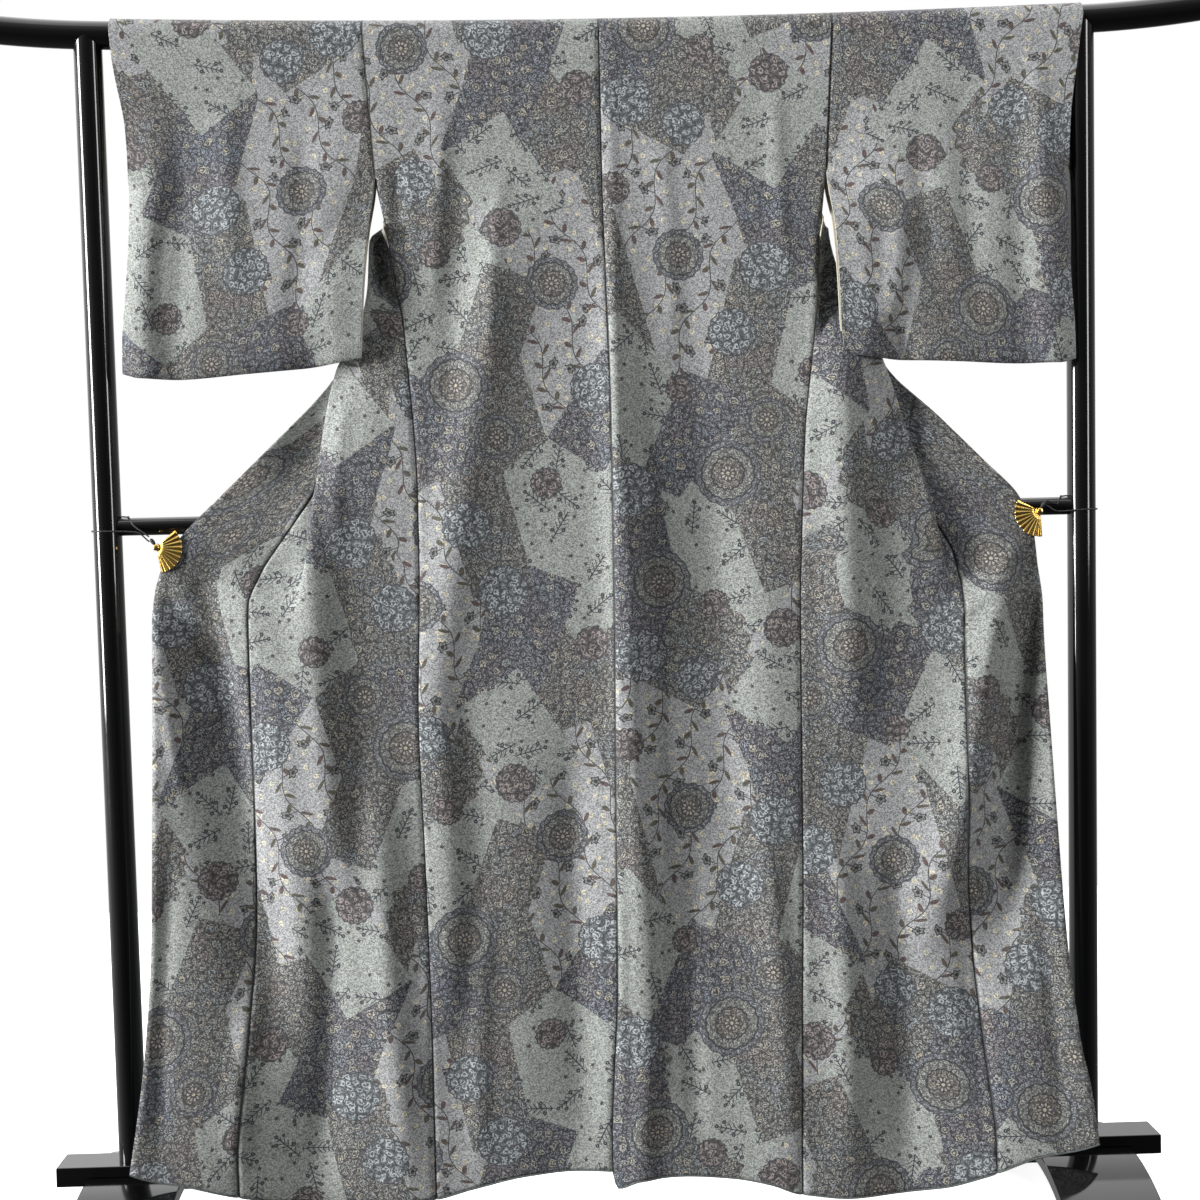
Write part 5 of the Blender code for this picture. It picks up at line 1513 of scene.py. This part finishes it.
def dots(tree, place):
    """Tiny flowers of five petals."""
    add = partial(add_node, tree)
    local, chance = scatter(tree, place, DOT_CELL, 0.9)
    radius, angle = polar(tree, local)
    edge = add("Math", [waves(tree, angle, 5.0), 0.6, 2.4], operation='MULTIPLY_ADD')
    dot = add("MapRange", [add("Math", [radius, edge], operation='SUBTRACT'), 0.3, -0.3])
    shown = add("Math", [chance.outputs[1], 0.3], operation='GREATER_THAN')
    return add("Math", [dot, shown], operation='MULTIPLY')


def small_rings(tree, place):
    """Little rings with a dot in the middle."""
    add = partial(add_node, tree)
    local, chance = scatter(tree, place, RING_CELL, 0.9)
    radius = polar(tree, local)[0]
    ring = add("MapRange", [away_from(tree, radius, 2.5), 1.0, 0.4, 0.0, 0.85])
    middle = add("MapRange", [radius, 0.9, 0.5, 0.0, 0.6])
    shown = add("Math", [chance.outputs[1], 0.2], operation='GREATER_THAN')
    return add("Math", [add("Math", [ring, middle], operation='MAXIMUM'), shown], operation='MULTIPLY')


# %% [markdown]
# ## Vines on lilac
#
# The vines run in slanting lanes. In each lane the stem is a sine wave that starts at a random phase,
# and what matters is the distance along it and the distance to its side. Leaves sit on alternate sides
# at every step, and at longer steps a short stalk ends in a flower.

# %% Vines
LANE = 54.0                 # width of a lane
SWAY = 9.0                  # how far the stem swings to each side
SWAY_LENGTH = 112.0
LEAF_STEP = 15.5
FLOWER_STEP = 49.0
FLOWER_OUT = 16.0           # from the stem to a flower's middle
VINE_SLANT = 24.0           # degrees


def steps_along(tree, along, aside, pitch, first):
    """Numbers the steps along a stem: the number, the way out to alternate sides, the way along."""
    add = partial(add_node, tree)
    step = add("Math", [add("Math", [along, pitch], operation='DIVIDE')], operation='FLOOR')
    turn = add("Math", [add("Math", [step, 2.0], operation='FLOORED_MODULO'), -2.0 * first, first],
               operation='MULTIPLY_ADD')
    from_step = add("Math", [add("Math", [step, 0.5], operation='ADD'), -pitch, along],
                    operation='MULTIPLY_ADD')
    return step, add("Math", [aside, turn], operation='MULTIPLY'), from_step


def vines(tree, place):
    """Masks for stems and leaves, each leaf's random value, and flowers with hearts and seeds."""
    add = partial(add_node, tree)
    turned = add("VectorRotate", {"Vector": place, "Angle": math.radians(VINE_SLANT)},
                 rotation_type='Z_AXIS')
    parts = add("SeparateXYZ", [turned])
    lane = add("Math", [add("Math", [parts.outputs[0], LANE], operation='DIVIDE')], operation='FLOOR')
    chance = add("TexWhiteNoise", {"W": lane}, noise_dimensions='1D').outputs["Value"]
    along = add("Math", [chance, 300.0, parts.outputs[1]], operation='MULTIPLY_ADD')
    wave = add("Math", [add("Math", [along, 2 * math.pi / SWAY_LENGTH], operation='MULTIPLY')],
               operation='SINE')
    middle = add("Math", [add("Math", [lane, 0.5], operation='ADD'), LANE], operation='MULTIPLY')
    middle = add("Math", [wave, SWAY, middle], operation='MULTIPLY_ADD')
    aside = add("Math", [parts.outputs[0], middle], operation='SUBTRACT')
    stem = add("MapRange", [add("Math", [aside], operation='ABSOLUTE'), 0.9, 0.4])

    step, outwards, from_step = steps_along(tree, along, aside, LEAF_STEP, 1.0)
    leaf = add("CombineXYZ", [add("Math", [outwards, 6.2], operation='SUBTRACT'), from_step])
    leaf = add("VectorRotate", {"Vector": leaf, "Angle": math.radians(-42.0)}, rotation_type='Z_AXIS')
    leaf = add("VectorMath", [leaf, (1 / 7.0, 1 / 2.7, 0.0)], operation='MULTIPLY')
    leaf_edge = add("VectorMath", [leaf], operation='LENGTH').outputs["Value"]
    leaves = add("MapRange", [leaf_edge, 1.1, 0.9])
    leaf_chance = add("TexWhiteNoise", {"W": add("Math", [step, lane], operation='ADD')},
                      noise_dimensions='1D').outputs["Value"]

    _, outwards, from_bloom = steps_along(tree, along, aside, FLOWER_STEP, -1.0)
    stalk = add("MapRange", [add("Math", [from_bloom], operation='ABSOLUTE'), 0.8, 0.4])
    reach = add("MapRange", [away_from(tree, outwards, 7.5), 7.5, 6.5])
    stalk = add("Math", [stalk, reach], operation='MULTIPLY')
    flower = add("CombineXYZ", [add("Math", [outwards, FLOWER_OUT], operation='SUBTRACT'), from_bloom])
    radius, angle = polar(tree, flower)
    edge = add("Math", [waves(tree, angle, 5.0), 1.2, 6.6], operation='MULTIPLY_ADD')
    edge = add("Math", [edge, radius], operation='SUBTRACT')
    flowers = add("MapRange", [edge, -0.4, 0.4])
    hearts = add("MapRange", [edge, 1.5, 2.1])
    seeds = add("MapRange", [radius, 3.0, 2.2])
    stems = add("Math", [stem, stalk], operation='MAXIMUM')
    return stems, leaves, leaf_chance, flowers, hearts, seeds


# %% [markdown]
# ## The carpets
#
# The dense grounds are crowded with ringlets and small flowers. Both are scattered motifs again: a
# ringlet is a light ring round a dark core, and a flower is a larger one whose ring waves eight times.
# The place is first shaken a little by a noise, so no ring is quite round. Dark lines between the
# ringlets come from the distance to the edge of their cells.

# %% Carpet pattern
RINGLET_CELL = 5.6
SCROLL_CELL = 9.5           # of the larger ringlets on the pale medallions
FLOWER_CELL = 19.0
SHAKE = 2.4                 # how far the noise moves a ring, in millimetres
STAIN = 55.0                # the carpets change tint over about this distance


def shaken(tree, place):
    """The place, moved a little by a noise."""
    add = partial(add_node, tree)
    noise = add("TexNoise", {"Vector": place, "Scale": 1 / 9.0, "Detail": 1.0}, noise_dimensions='2D')
    shift = add("VectorMath", [noise.outputs["Color"], (0.5, 0.5, 0.5)], operation='SUBTRACT')
    shift = add("VectorMath", [shift, (4 * SHAKE, 4 * SHAKE, 0.0)], operation='MULTIPLY')
    return add("VectorMath", [place, shift], operation='ADD').outputs[0]


def ringlets(tree, place, cell):
    """Masks for light rings, their dark cores and the dark gaps between them."""
    add = partial(add_node, tree)
    cells, gap = (add("TexVoronoi", {"Vector": place, "Scale": 1.0 / cell, "Randomness": 0.8},
                      voronoi_dimensions='2D', feature=feature).outputs["Distance"]
                  for feature in ('F1', 'DISTANCE_TO_EDGE'))
    rings = add("MapRange", [away_from(tree, cells, 0.27), 0.11, 0.04])
    cores = add("MapRange", [cells, 0.19, 0.12])
    gaps = add("MapRange", [gap, 0.14, 0.05])
    return rings, cores, gaps


def small_flowers(tree, place):
    """Masks for petals, outlines, cores and hearts of the small flowers, and their random values."""
    add = partial(add_node, tree)
    local, chance = scatter(tree, place, FLOWER_CELL, 0.7)
    radius, angle = polar(tree, local)
    waved = add("Math", [waves(tree, angle, 8.0), -0.6, radius], operation='MULTIPLY_ADD')
    shown = add("Math", [chance.outputs[1], 0.25], operation='GREATER_THAN')
    outline = add("MapRange", [waved, 6.6, 6.0, 0.0, shown])
    ring = add("MapRange", [away_from(tree, waved, 3.9), 1.2, 0.7, 0.0, shown])
    heart = add("MapRange", [radius, 1.6, 1.0, 0.0, shown])
    return outline, ring, heart, chance


# %% [markdown]
# ## Medallions
#
# A medallion is a set of rings round one centre, with scalloped edges and a ring of petals at its heart.
# The mesh knows each point's place in its medallion, so one drawing serves them all and only the colours
# change with the kind.

# %% Medallions
def medallions(tree):
    """Masks for a medallion's disc, rim, bands, lines, core, petals and heart, and its kind."""
    add = partial(add_node, tree)
    place = add("Attribute", attribute_name="medallion").outputs["Vector"]
    size = add("Math", [add("SeparateXYZ", [place]).outputs[2], MM], operation='MULTIPLY')
    flat = add("VectorMath", [place, (MM, MM, 0.0)], operation='MULTIPLY')
    radius, angle = polar(tree, flat)
    waved = add("Math", [waves(tree, angle, 16.0), 0.9, radius], operation='MULTIPLY_ADD')
    inwards = add("Math", [size, waved], operation='SUBTRACT')
    disc = add("MapRange", [inwards, -0.3, 0.3])
    rim = add("MapRange", [away_from(tree, inwards, 0.8), 1.0, 0.5])

    share = add("Math", [waved, size], operation='DIVIDE')
    inner = add("MapRange", [share, 0.50, 0.48])
    middle = add("MapRange", [share, 0.80, 0.78])
    lines = None
    for edge in (0.49, 0.79):
        line = add("MapRange", [away_from(tree, share, edge), 0.035, 0.015])
        lines = add("Math", [lines, line], operation='MAXIMUM') if lines else line
    from_ring = away_from(tree, radius, 7.0)
    petal = add("Math", [waves(tree, angle, 10.0), -1.6, from_ring], operation='MULTIPLY_ADD')
    petals = add("MapRange", [petal, 1.4, 0.6])
    core = add("MapRange", [radius, 11.0, 10.0])
    heart = add("MapRange", [radius, 2.6, 2.0])
    kind = add("Attribute", attribute_name="medallion_kind").outputs["Fac"]
    return disc, rim, inner, middle, lines, core, petals, heart, kind


# %% [markdown]
# ## Printed silk crêpe
#
# Crêpe is woven with hard-twisted yarn that shrinks into a fine pebble grain, so it has no shine: its
# roughness is high and a little sheen lifts its edges. The real grain is about half a millimetre. Here
# its pebbles are drawn 2.4 mm apart and its specks 1.3 mm apart, because anything finer averages away
# in the picture.

# %% Printed silk crêpe
GRAIN = 2.4                 # millimetres, from one soft pebble to the next
KNOT = 1.3                  # millimetres, from one hard speck to the next
SAGE = "#8D918D"
LILAC = "#909192"
NAVY = "#505156"
CARPET = "#5C5C59"
INK = "#24252B"


def make_crepe():
    material, tree, shader = new_material("printed_silk_crepe", roughness=0.78)
    add = partial(add_node, tree)
    on_cloth = add("Attribute", attribute_name="on_cloth").outputs["Vector"]
    place = add("VectorMath", [on_cloth, (MM, MM, 0.0)], operation='MULTIPLY').outputs[0]
    from_seam = add("SeparateXYZ", [on_cloth]).outputs[2]
    fields = add("SeparateXYZ", [add("Attribute", attribute_name="fields").outputs["Vector"]])
    masks = [add("MapRange", [depth, -0.0004, 0.0004]) for depth in fields.outputs]

    sage = paint(tree, SAGE, [(sprigs(tree, place), "#2C2E37"), (dots(tree, place), "#3F3B3A")])
    stems, leaves, leaf_chance, flowers, hearts, seeds = vines(tree, place)
    leaf_colour = paint(tree, "#4B4A3C", [(leaf_chance, "#503E3F")])
    lilac = paint(tree, LILAC, [(small_rings(tree, place), "#C4BA9A"), (stems, INK),
                                (leaves, leaf_colour), (flowers, INK), (hearts, "#72726F"),
                                (seeds, INK)])

    moved = shaken(tree, place)
    rings, cores, gaps = ringlets(tree, moved, RINGLET_CELL)
    scrolls, scroll_cores, scroll_gaps = ringlets(tree, moved, SCROLL_CELL)
    outline, ring, heart, chance = small_flowers(tree, moved)
    stain = add("TexNoise", {"Vector": place, "Scale": 1 / STAIN, "Detail": 1.0}, noise_dimensions='2D')
    stains = add("SeparateColor", [stain.outputs["Color"]])
    blue = add("MapRange", [stains.outputs[0], 0.52, 0.62, 0.0, 0.7])
    rust = add("MapRange", [stains.outputs[1], 0.52, 0.62, 0.0, 0.6])
    light = paint(tree, "#94948F", [(blue, "#86919A"), (rust, "#93867F")])
    tint = paint(tree, "#989489", [(chance.outputs[2], "#7F868A")])
    grey = paint(tree, CARPET, [(gaps, "#353537"), (rings, light), (cores, "#333335"),
                                (outline, "#39393B"), (ring, tint), (heart, "#A8A08C")])
    dim = paint(tree, "#87888D", [(blue, "#7A8592"), (rust, "#887B78")])
    navy = paint(tree, NAVY, [(gaps, "#2B2C31"), (rings, dim), (cores, "#292A2F"), (outline, "#303136"),
                              (ring, tint), (heart, "#A8A08C")])
    cloth = paint(tree, grey, list(zip(masks, (sage, navy, lilac))))

    disc, rim, inner, middle, lines, core, petals, heart, kind = medallions(tree)
    lattice = add("MapRange", [away_from(tree, kind, 1.0), 0.5, 0.4])
    rosette = add("Math", [kind, 1.5], operation='GREATER_THAN')
    brown_disc = paint(tree, "#625D5C", [(gaps, "#4B4749"), (scroll_gaps, "#383538"),
                                         (scrolls, "#8F8784"), (scroll_cores, "#403C3F")])
    pale_disc = paint(tree, "#6F7476", [(gaps, "#4C5054"), (scroll_gaps, "#3E4144"),
                                        (scrolls, "#A0A6A8"), (scroll_cores, "#4A4E52")])
    outer_band = paint(tree, "#5C5E62", [(gaps, "#3E4044"), (rings, "#8A8C8F"), (cores, "#3A3C40")])
    middle_band = paint(tree, "#666764", [(gaps, "#4A4B4A"), (rings, "#989893"), (cores, "#434444")])
    inner_band = paint(tree, "#5A5855", [(gaps, "#403E3D"), (rings, "#918C83"), (cores, "#3B3939")])
    rosette_disc = paint(tree, outer_band, [(middle, middle_band), (inner, inner_band),
                                            (lines, "#2F3034"), (core, "#403F42"),
                                            (petals, "#9A948A"), (heart, "#A69D88")])
    drawn = paint(tree, brown_disc, [(lattice, pale_disc), (rosette, rosette_disc), (rim, "#3D3E44")])
    # Painted seam shadow: a dark line along each sewn edge, where the cloth turns into the seam and lies
    # in shade.
    seam = add("MapRange", [from_seam, 0.0017, 0.0007, 0.0, 0.9])
    cloth = paint(tree, cloth, [(disc, drawn), (seam, "#1E1F22")])

    grain = add("TexNoise", {"Vector": place, "Scale": 1 / GRAIN, "Detail": 2.0, "Roughness": 0.6},
                noise_dimensions='2D').outputs[0]
    knots = add("TexVoronoi", {"Vector": place, "Scale": 1 / KNOT, "Randomness": 1.0},
                voronoi_dimensions='2D')
    knot = add("SeparateColor", [knots.outputs["Color"]]).outputs[0]
    height = add("Mix", {0: 0.86, 2: grain, 3: knot}).outputs[0]
    bump = add("Bump", {"Height": height, "Strength": 0.4, "Distance": 0.0006})
    set_inputs(tree, shader, {"Base Color": speckled(tree, cloth, height, 0.12, 0.90, 0.44, 1.60),
                              "Normal": bump, "Sheen Weight": 0.15, "Sheen Roughness": 0.5})
    print("nodes in the crêpe:", len(tree.nodes))
    return material


crepe = make_crepe()

# %% [markdown]
# ## Lining, hem and the hard finishes
#
# A lined kimono has plain smooth silk inside: ivory above, and a darker cloth below that is seen when
# the wearer walks and that rolls round the hem as a thin edge. Lacquer is many thin coats rubbed smooth,
# so it is nearly black, very glossy and only faintly uneven. The clips are brass under thin gilding, and
# their cords are twisted silk.

# %% Lining and hem
LINING_CHANGES = 0.85       # metres above the floor
THREADS = (900.0, 900.0, 300.0)    # a metre: the threads run down the cloth


def make_lining():
    material, tree, shader = new_material("silk_lining", roughness=0.55)
    add = partial(add_node, tree)
    place = add("NewGeometry").outputs["Position"]
    height = add("SeparateXYZ", [place]).outputs[2]
    above = add("MapRange", [height, LINING_CHANGES - 0.001, LINING_CHANGES + 0.001])
    cloth = paint(tree, "#6E7774", [(above, "#CFC8B6")])
    along = add("VectorMath", [place, THREADS], operation='MULTIPLY')
    threads = add("TexNoise", {"Vector": along, "Scale": 1.0, "Detail": 1.0}).outputs[0]
    bump = add("Bump", {"Height": threads, "Strength": 0.15, "Distance": 0.0004})
    set_inputs(tree, shader, {"Base Color": speckled(tree, cloth, threads, 0.3, 0.7, 0.92, 1.08),
                              "Normal": bump, "Sheen Weight": 0.2})
    return material


def make_hem():
    material, tree, shader = new_material("hem_silk", roughness=0.65)
    add = partial(add_node, tree)
    place = add("NewGeometry").outputs["Position"]
    grain = add("TexNoise", {"Vector": place, "Scale": MM / GRAIN, "Detail": 1.0}).outputs[0]
    cloth = paint(tree, "#454C4A", [(add("MapRange", [grain, 0.35, 0.65]), "#5C6361")])
    bump = add("Bump", {"Height": grain, "Strength": 0.2, "Distance": 0.0004})
    set_inputs(tree, shader, {"Base Color": cloth, "Normal": bump})
    return material


lining = make_lining()
hem_silk = make_hem()

# %% Lacquer, gilt brass and cord
RUBBED = 9.0                # a metre: broad patches that are rubbed a little duller
WEAR = 220.0                # a metre: spots where the gilding is thin
PEEL = 14.0                 # millimetres between the faint waves in the lacquer
TWIST = 1.6                 # millimetres from one strand of the cord to the next


def make_lacquer():
    material, tree, shader = new_material("black_lacquer", roughness=0.09, colour="#0B0B0C")
    add = partial(add_node, tree)
    place = add("NewGeometry").outputs["Position"]
    waves = add("TexNoise", {"Vector": place, "Scale": MM / PEEL, "Detail": 2.0}).outputs[0]
    rubbed = add("TexNoise", {"Vector": place, "Scale": RUBBED, "Detail": 3.0}).outputs[0]
    rough = add("MapRange", [rubbed, 0.3, 0.7, 0.06, 0.13])
    bump = add("Bump", {"Height": waves, "Strength": 0.008, "Distance": 0.0005})
    set_inputs(tree, shader, {"Roughness": rough, "Normal": bump})
    return material


def make_gilt():
    material, tree, shader = new_material("gilt_brass", roughness=0.24, metallic=1.0)
    add = partial(add_node, tree)
    place = add("NewGeometry").outputs["Position"]
    worn = add("TexNoise", {"Vector": place, "Scale": WEAR, "Detail": 3.0}).outputs[0]
    worn = add("MapRange", [worn, 0.40, 0.65])
    rough = add("MapRange", [worn, 0.0, 1.0, 0.18, 0.34])
    gold = paint(tree, "#EFCE7C", [(worn, "#CBA04A")])
    set_inputs(tree, shader, {"Base Color": gold, "Roughness": rough})
    return material


def make_cord_silk():
    material, tree, shader = new_material("black_silk_cord", roughness=0.6)
    add = partial(add_node, tree)
    place = add("NewGeometry").outputs["Position"]
    bands = {"Vector": place, "Scale": MM / TWIST / 20.0 * math.pi, "Distortion": 0.5}
    strands = add("TexWave", bands, bands_direction='DIAGONAL').outputs["Fac"]
    bump = add("Bump", {"Height": strands, "Strength": 0.4, "Distance": 0.0003})
    black = paint(tree, "#0C0C0E", [(strands, "#26262A")])
    set_inputs(tree, shader, {"Base Color": black, "Normal": bump})
    return material


lacquer = make_lacquer()
gilt = make_gilt()
cord_silk = make_cord_silk()
print("materials:", [material.name for material in (crepe, lining, hem_silk, lacquer, gilt, cord_silk)])

# %% [markdown]
# ## Putting the pieces in the frame
#
# Every piece rides on the model's one body. Each one says which solid it stands for, and that solid is
# hidden.


def declare(piece, slot, *nodes):
    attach(piece, "root")
    if nodes:
        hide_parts(*nodes)
    return piece


BAR_STEPS = 96
BAR_ROUNDING = 0.004
xs = [-BAR_HALF + 2 * BAR_HALF * k / BAR_STEPS for k in range(BAR_STEPS + 1)]
bar = make_tube("lacquered_bar", [(x, float(bar_height(x))) for x in xs], BAR_RADIUS, lacquer,
                rounding=BAR_ROUNDING)
declare(bar, "lacquer", "top_bar")
rail_x = post_x(RAIL_HEIGHT)
rail = make_tube("lacquered_rail", [(-rail_x, RAIL_HEIGHT), (rail_x, RAIL_HEIGHT)], RAIL_RADIUS,
                 lacquer, fit=against_post)
declare(rail, "lacquer", "rail")

for side, word in ((-1, "left"), (1, "right")):
    foot = (side * POST_FOOT_X, BLOCK_TOP + TOUCH)
    head = (side * POST_TOP_X, float(bar_height(POST_TOP_X)))
    post = make_tube("lacquered_post_" + word, [foot, head], POST_RADIUS, lacquer, fit=against_bar)
    declare(post, "lacquer", "post_" + word)
    declare(make_block(side, word, lacquer), "lacquer", "block_" + word)
    declare(make_board(side, word, lacquer), "lacquer", "foot_" + word)
    body, hems = make_body(side, word, (crepe, lining))
    rolls = [make_hem_roll(name + word, line, hem_silk)
             for name, line in zip(("back_hem_", "front_hem_"), hems)]
    declare(body, "silk", "body_" + word)
    okumi, hems = make_okumi(side, word, (crepe, lining))
    okumi_rolls = [make_hem_roll("okumi_hem_" + word, line, hem_silk) for line in hems]
    declare(okumi, "silk", "okumi_" + word)
    for roll in rolls + okumi_rolls:
        declare(roll, "silk")
    sleeve = declare(make_sleeve(side, word, (crepe, lining)), "silk", "sleeve_" + word)
    declare(make_fan(side, word, gilt), "gilt", "fan_" + word)
    declare(make_pin(side, word, gilt), "gilt", "clip_pin_" + word)
    declare(make_jaw(side, word, gilt), "gilt", "clip_jaw_" + word)
    declare(make_knot(side, word, cord_silk), "cord", "cord_knot_" + word)
    declare(make_cord(side, word, cord_silk), "cord", "clip_cord_" + word)
collar = declare(make_collar((crepe, crepe)), "silk", "collar")

# %% [markdown]
# ## The white studio
#
# The photograph has no shadow and no horizon: the floor is a white table lit from below, and the camera
# sees a white room. The cloth gets a low even light and one large soft key from the left. Lacquer shows
# only what it mirrors, so glossy rays see a room that is dark in front, bright behind and above, and
# brighter on the left.

# %% Floor and light
FLOOR_HALF = 2.4
FLOOR_GLOW = 0.8
ROOM_LIGHT = 0.06
WHITE = (1.0, 1.0, 1.0, 1.0)
MIRRORED_ROOM = (           # axis of the ray, from, to, and how bright the room is at both
    (1, -0.95, 0.20, 0.07, 0.85),
    (0, -0.90, 0.90, 1.5, 0.4),
    (2, -0.50, 0.50, 0.15, 2.2),
)

floor_mesh = bpy.data.meshes.new("studio_floor")
floor_corners = [(x * FLOOR_HALF, y * FLOOR_HALF, 0) for x, y in ((-1, -1), (1, -1), (1, 1), (-1, 1))]
floor_mesh.from_pydata(floor_corners, [], [(0, 1, 2, 3)])
paper, paper_tree, paper_shader = new_material("white_paper", 0.8, colour="#F8F8F7")
set_inputs(paper_tree, paper_shader, {"Emission Color": WHITE, "Emission Strength": FLOOR_GLOW})
floor = add_object("studio_floor", floor_mesh, paper)
floor.visible_diffuse = False       # its glow stays off the cloth
floor.visible_glossy = False        # and off the lacquer
world = bpy.data.worlds.new("white_studio")
scene.world = world
world.use_nodes = True
sky = world.node_tree
add = partial(add_node, sky)
room = sky.nodes["Background"]
set_inputs(sky, room, {"Color": WHITE, "Strength": ROOM_LIGHT})
backdrop = add("Background", {"Color": WHITE, "Strength": 1.0})
ways = add("SeparateXYZ", [add("TexCoord").outputs["Generated"]]).outputs
shine = 1.0
for axis, *ramp in MIRRORED_ROOM:
    shine = add("Math", [shine, add("MapRange", [ways[axis], *ramp])], operation='MULTIPLY')
mirrored = add("Background", {"Color": WHITE, "Strength": shine})
rays = add("LightPath").outputs
both = add("MixShader", [rays["Is Glossy Ray"], room, mirrored])
both = add("MixShader", [rays["Is Camera Ray"], both, backdrop])
set_inputs(sky, sky.nodes["World Output"], {"Surface": both})


def add_light(name, place, aim, size, watts):
    light = bpy.data.lights.new(name, 'AREA')
    light.shape = 'RECTANGLE'
    light.size, light.size_y = size
    light.energy = watts
    piece = add_object(name, light)
    piece.location = place
    piece.rotation_euler = (Vector(aim) - Vector(place)).to_track_quat('-Z', 'Y').to_euler()
    return piece


add_light("soft_key", (-8.4, -2.8, 2.4), (0.0, 0.0, 0.9), (2.0, 5.0), 1800.0)
add_light("soft_fill", (3.0, -2.5, 2.1), (0.4, 0.0, 1.2), (0.7, 2.6), 70.0)
add_light("soft_back", (-2.2, 4.2, 2.2), (0.0, 0.0, 0.9), (1.6, 3.0), 150.0).visible_glossy = False
add_light("soft_top", (0.0, 0.6, 4.2), (0.0, 0.0, 0.0), (4.5, 4.5), 90.0)
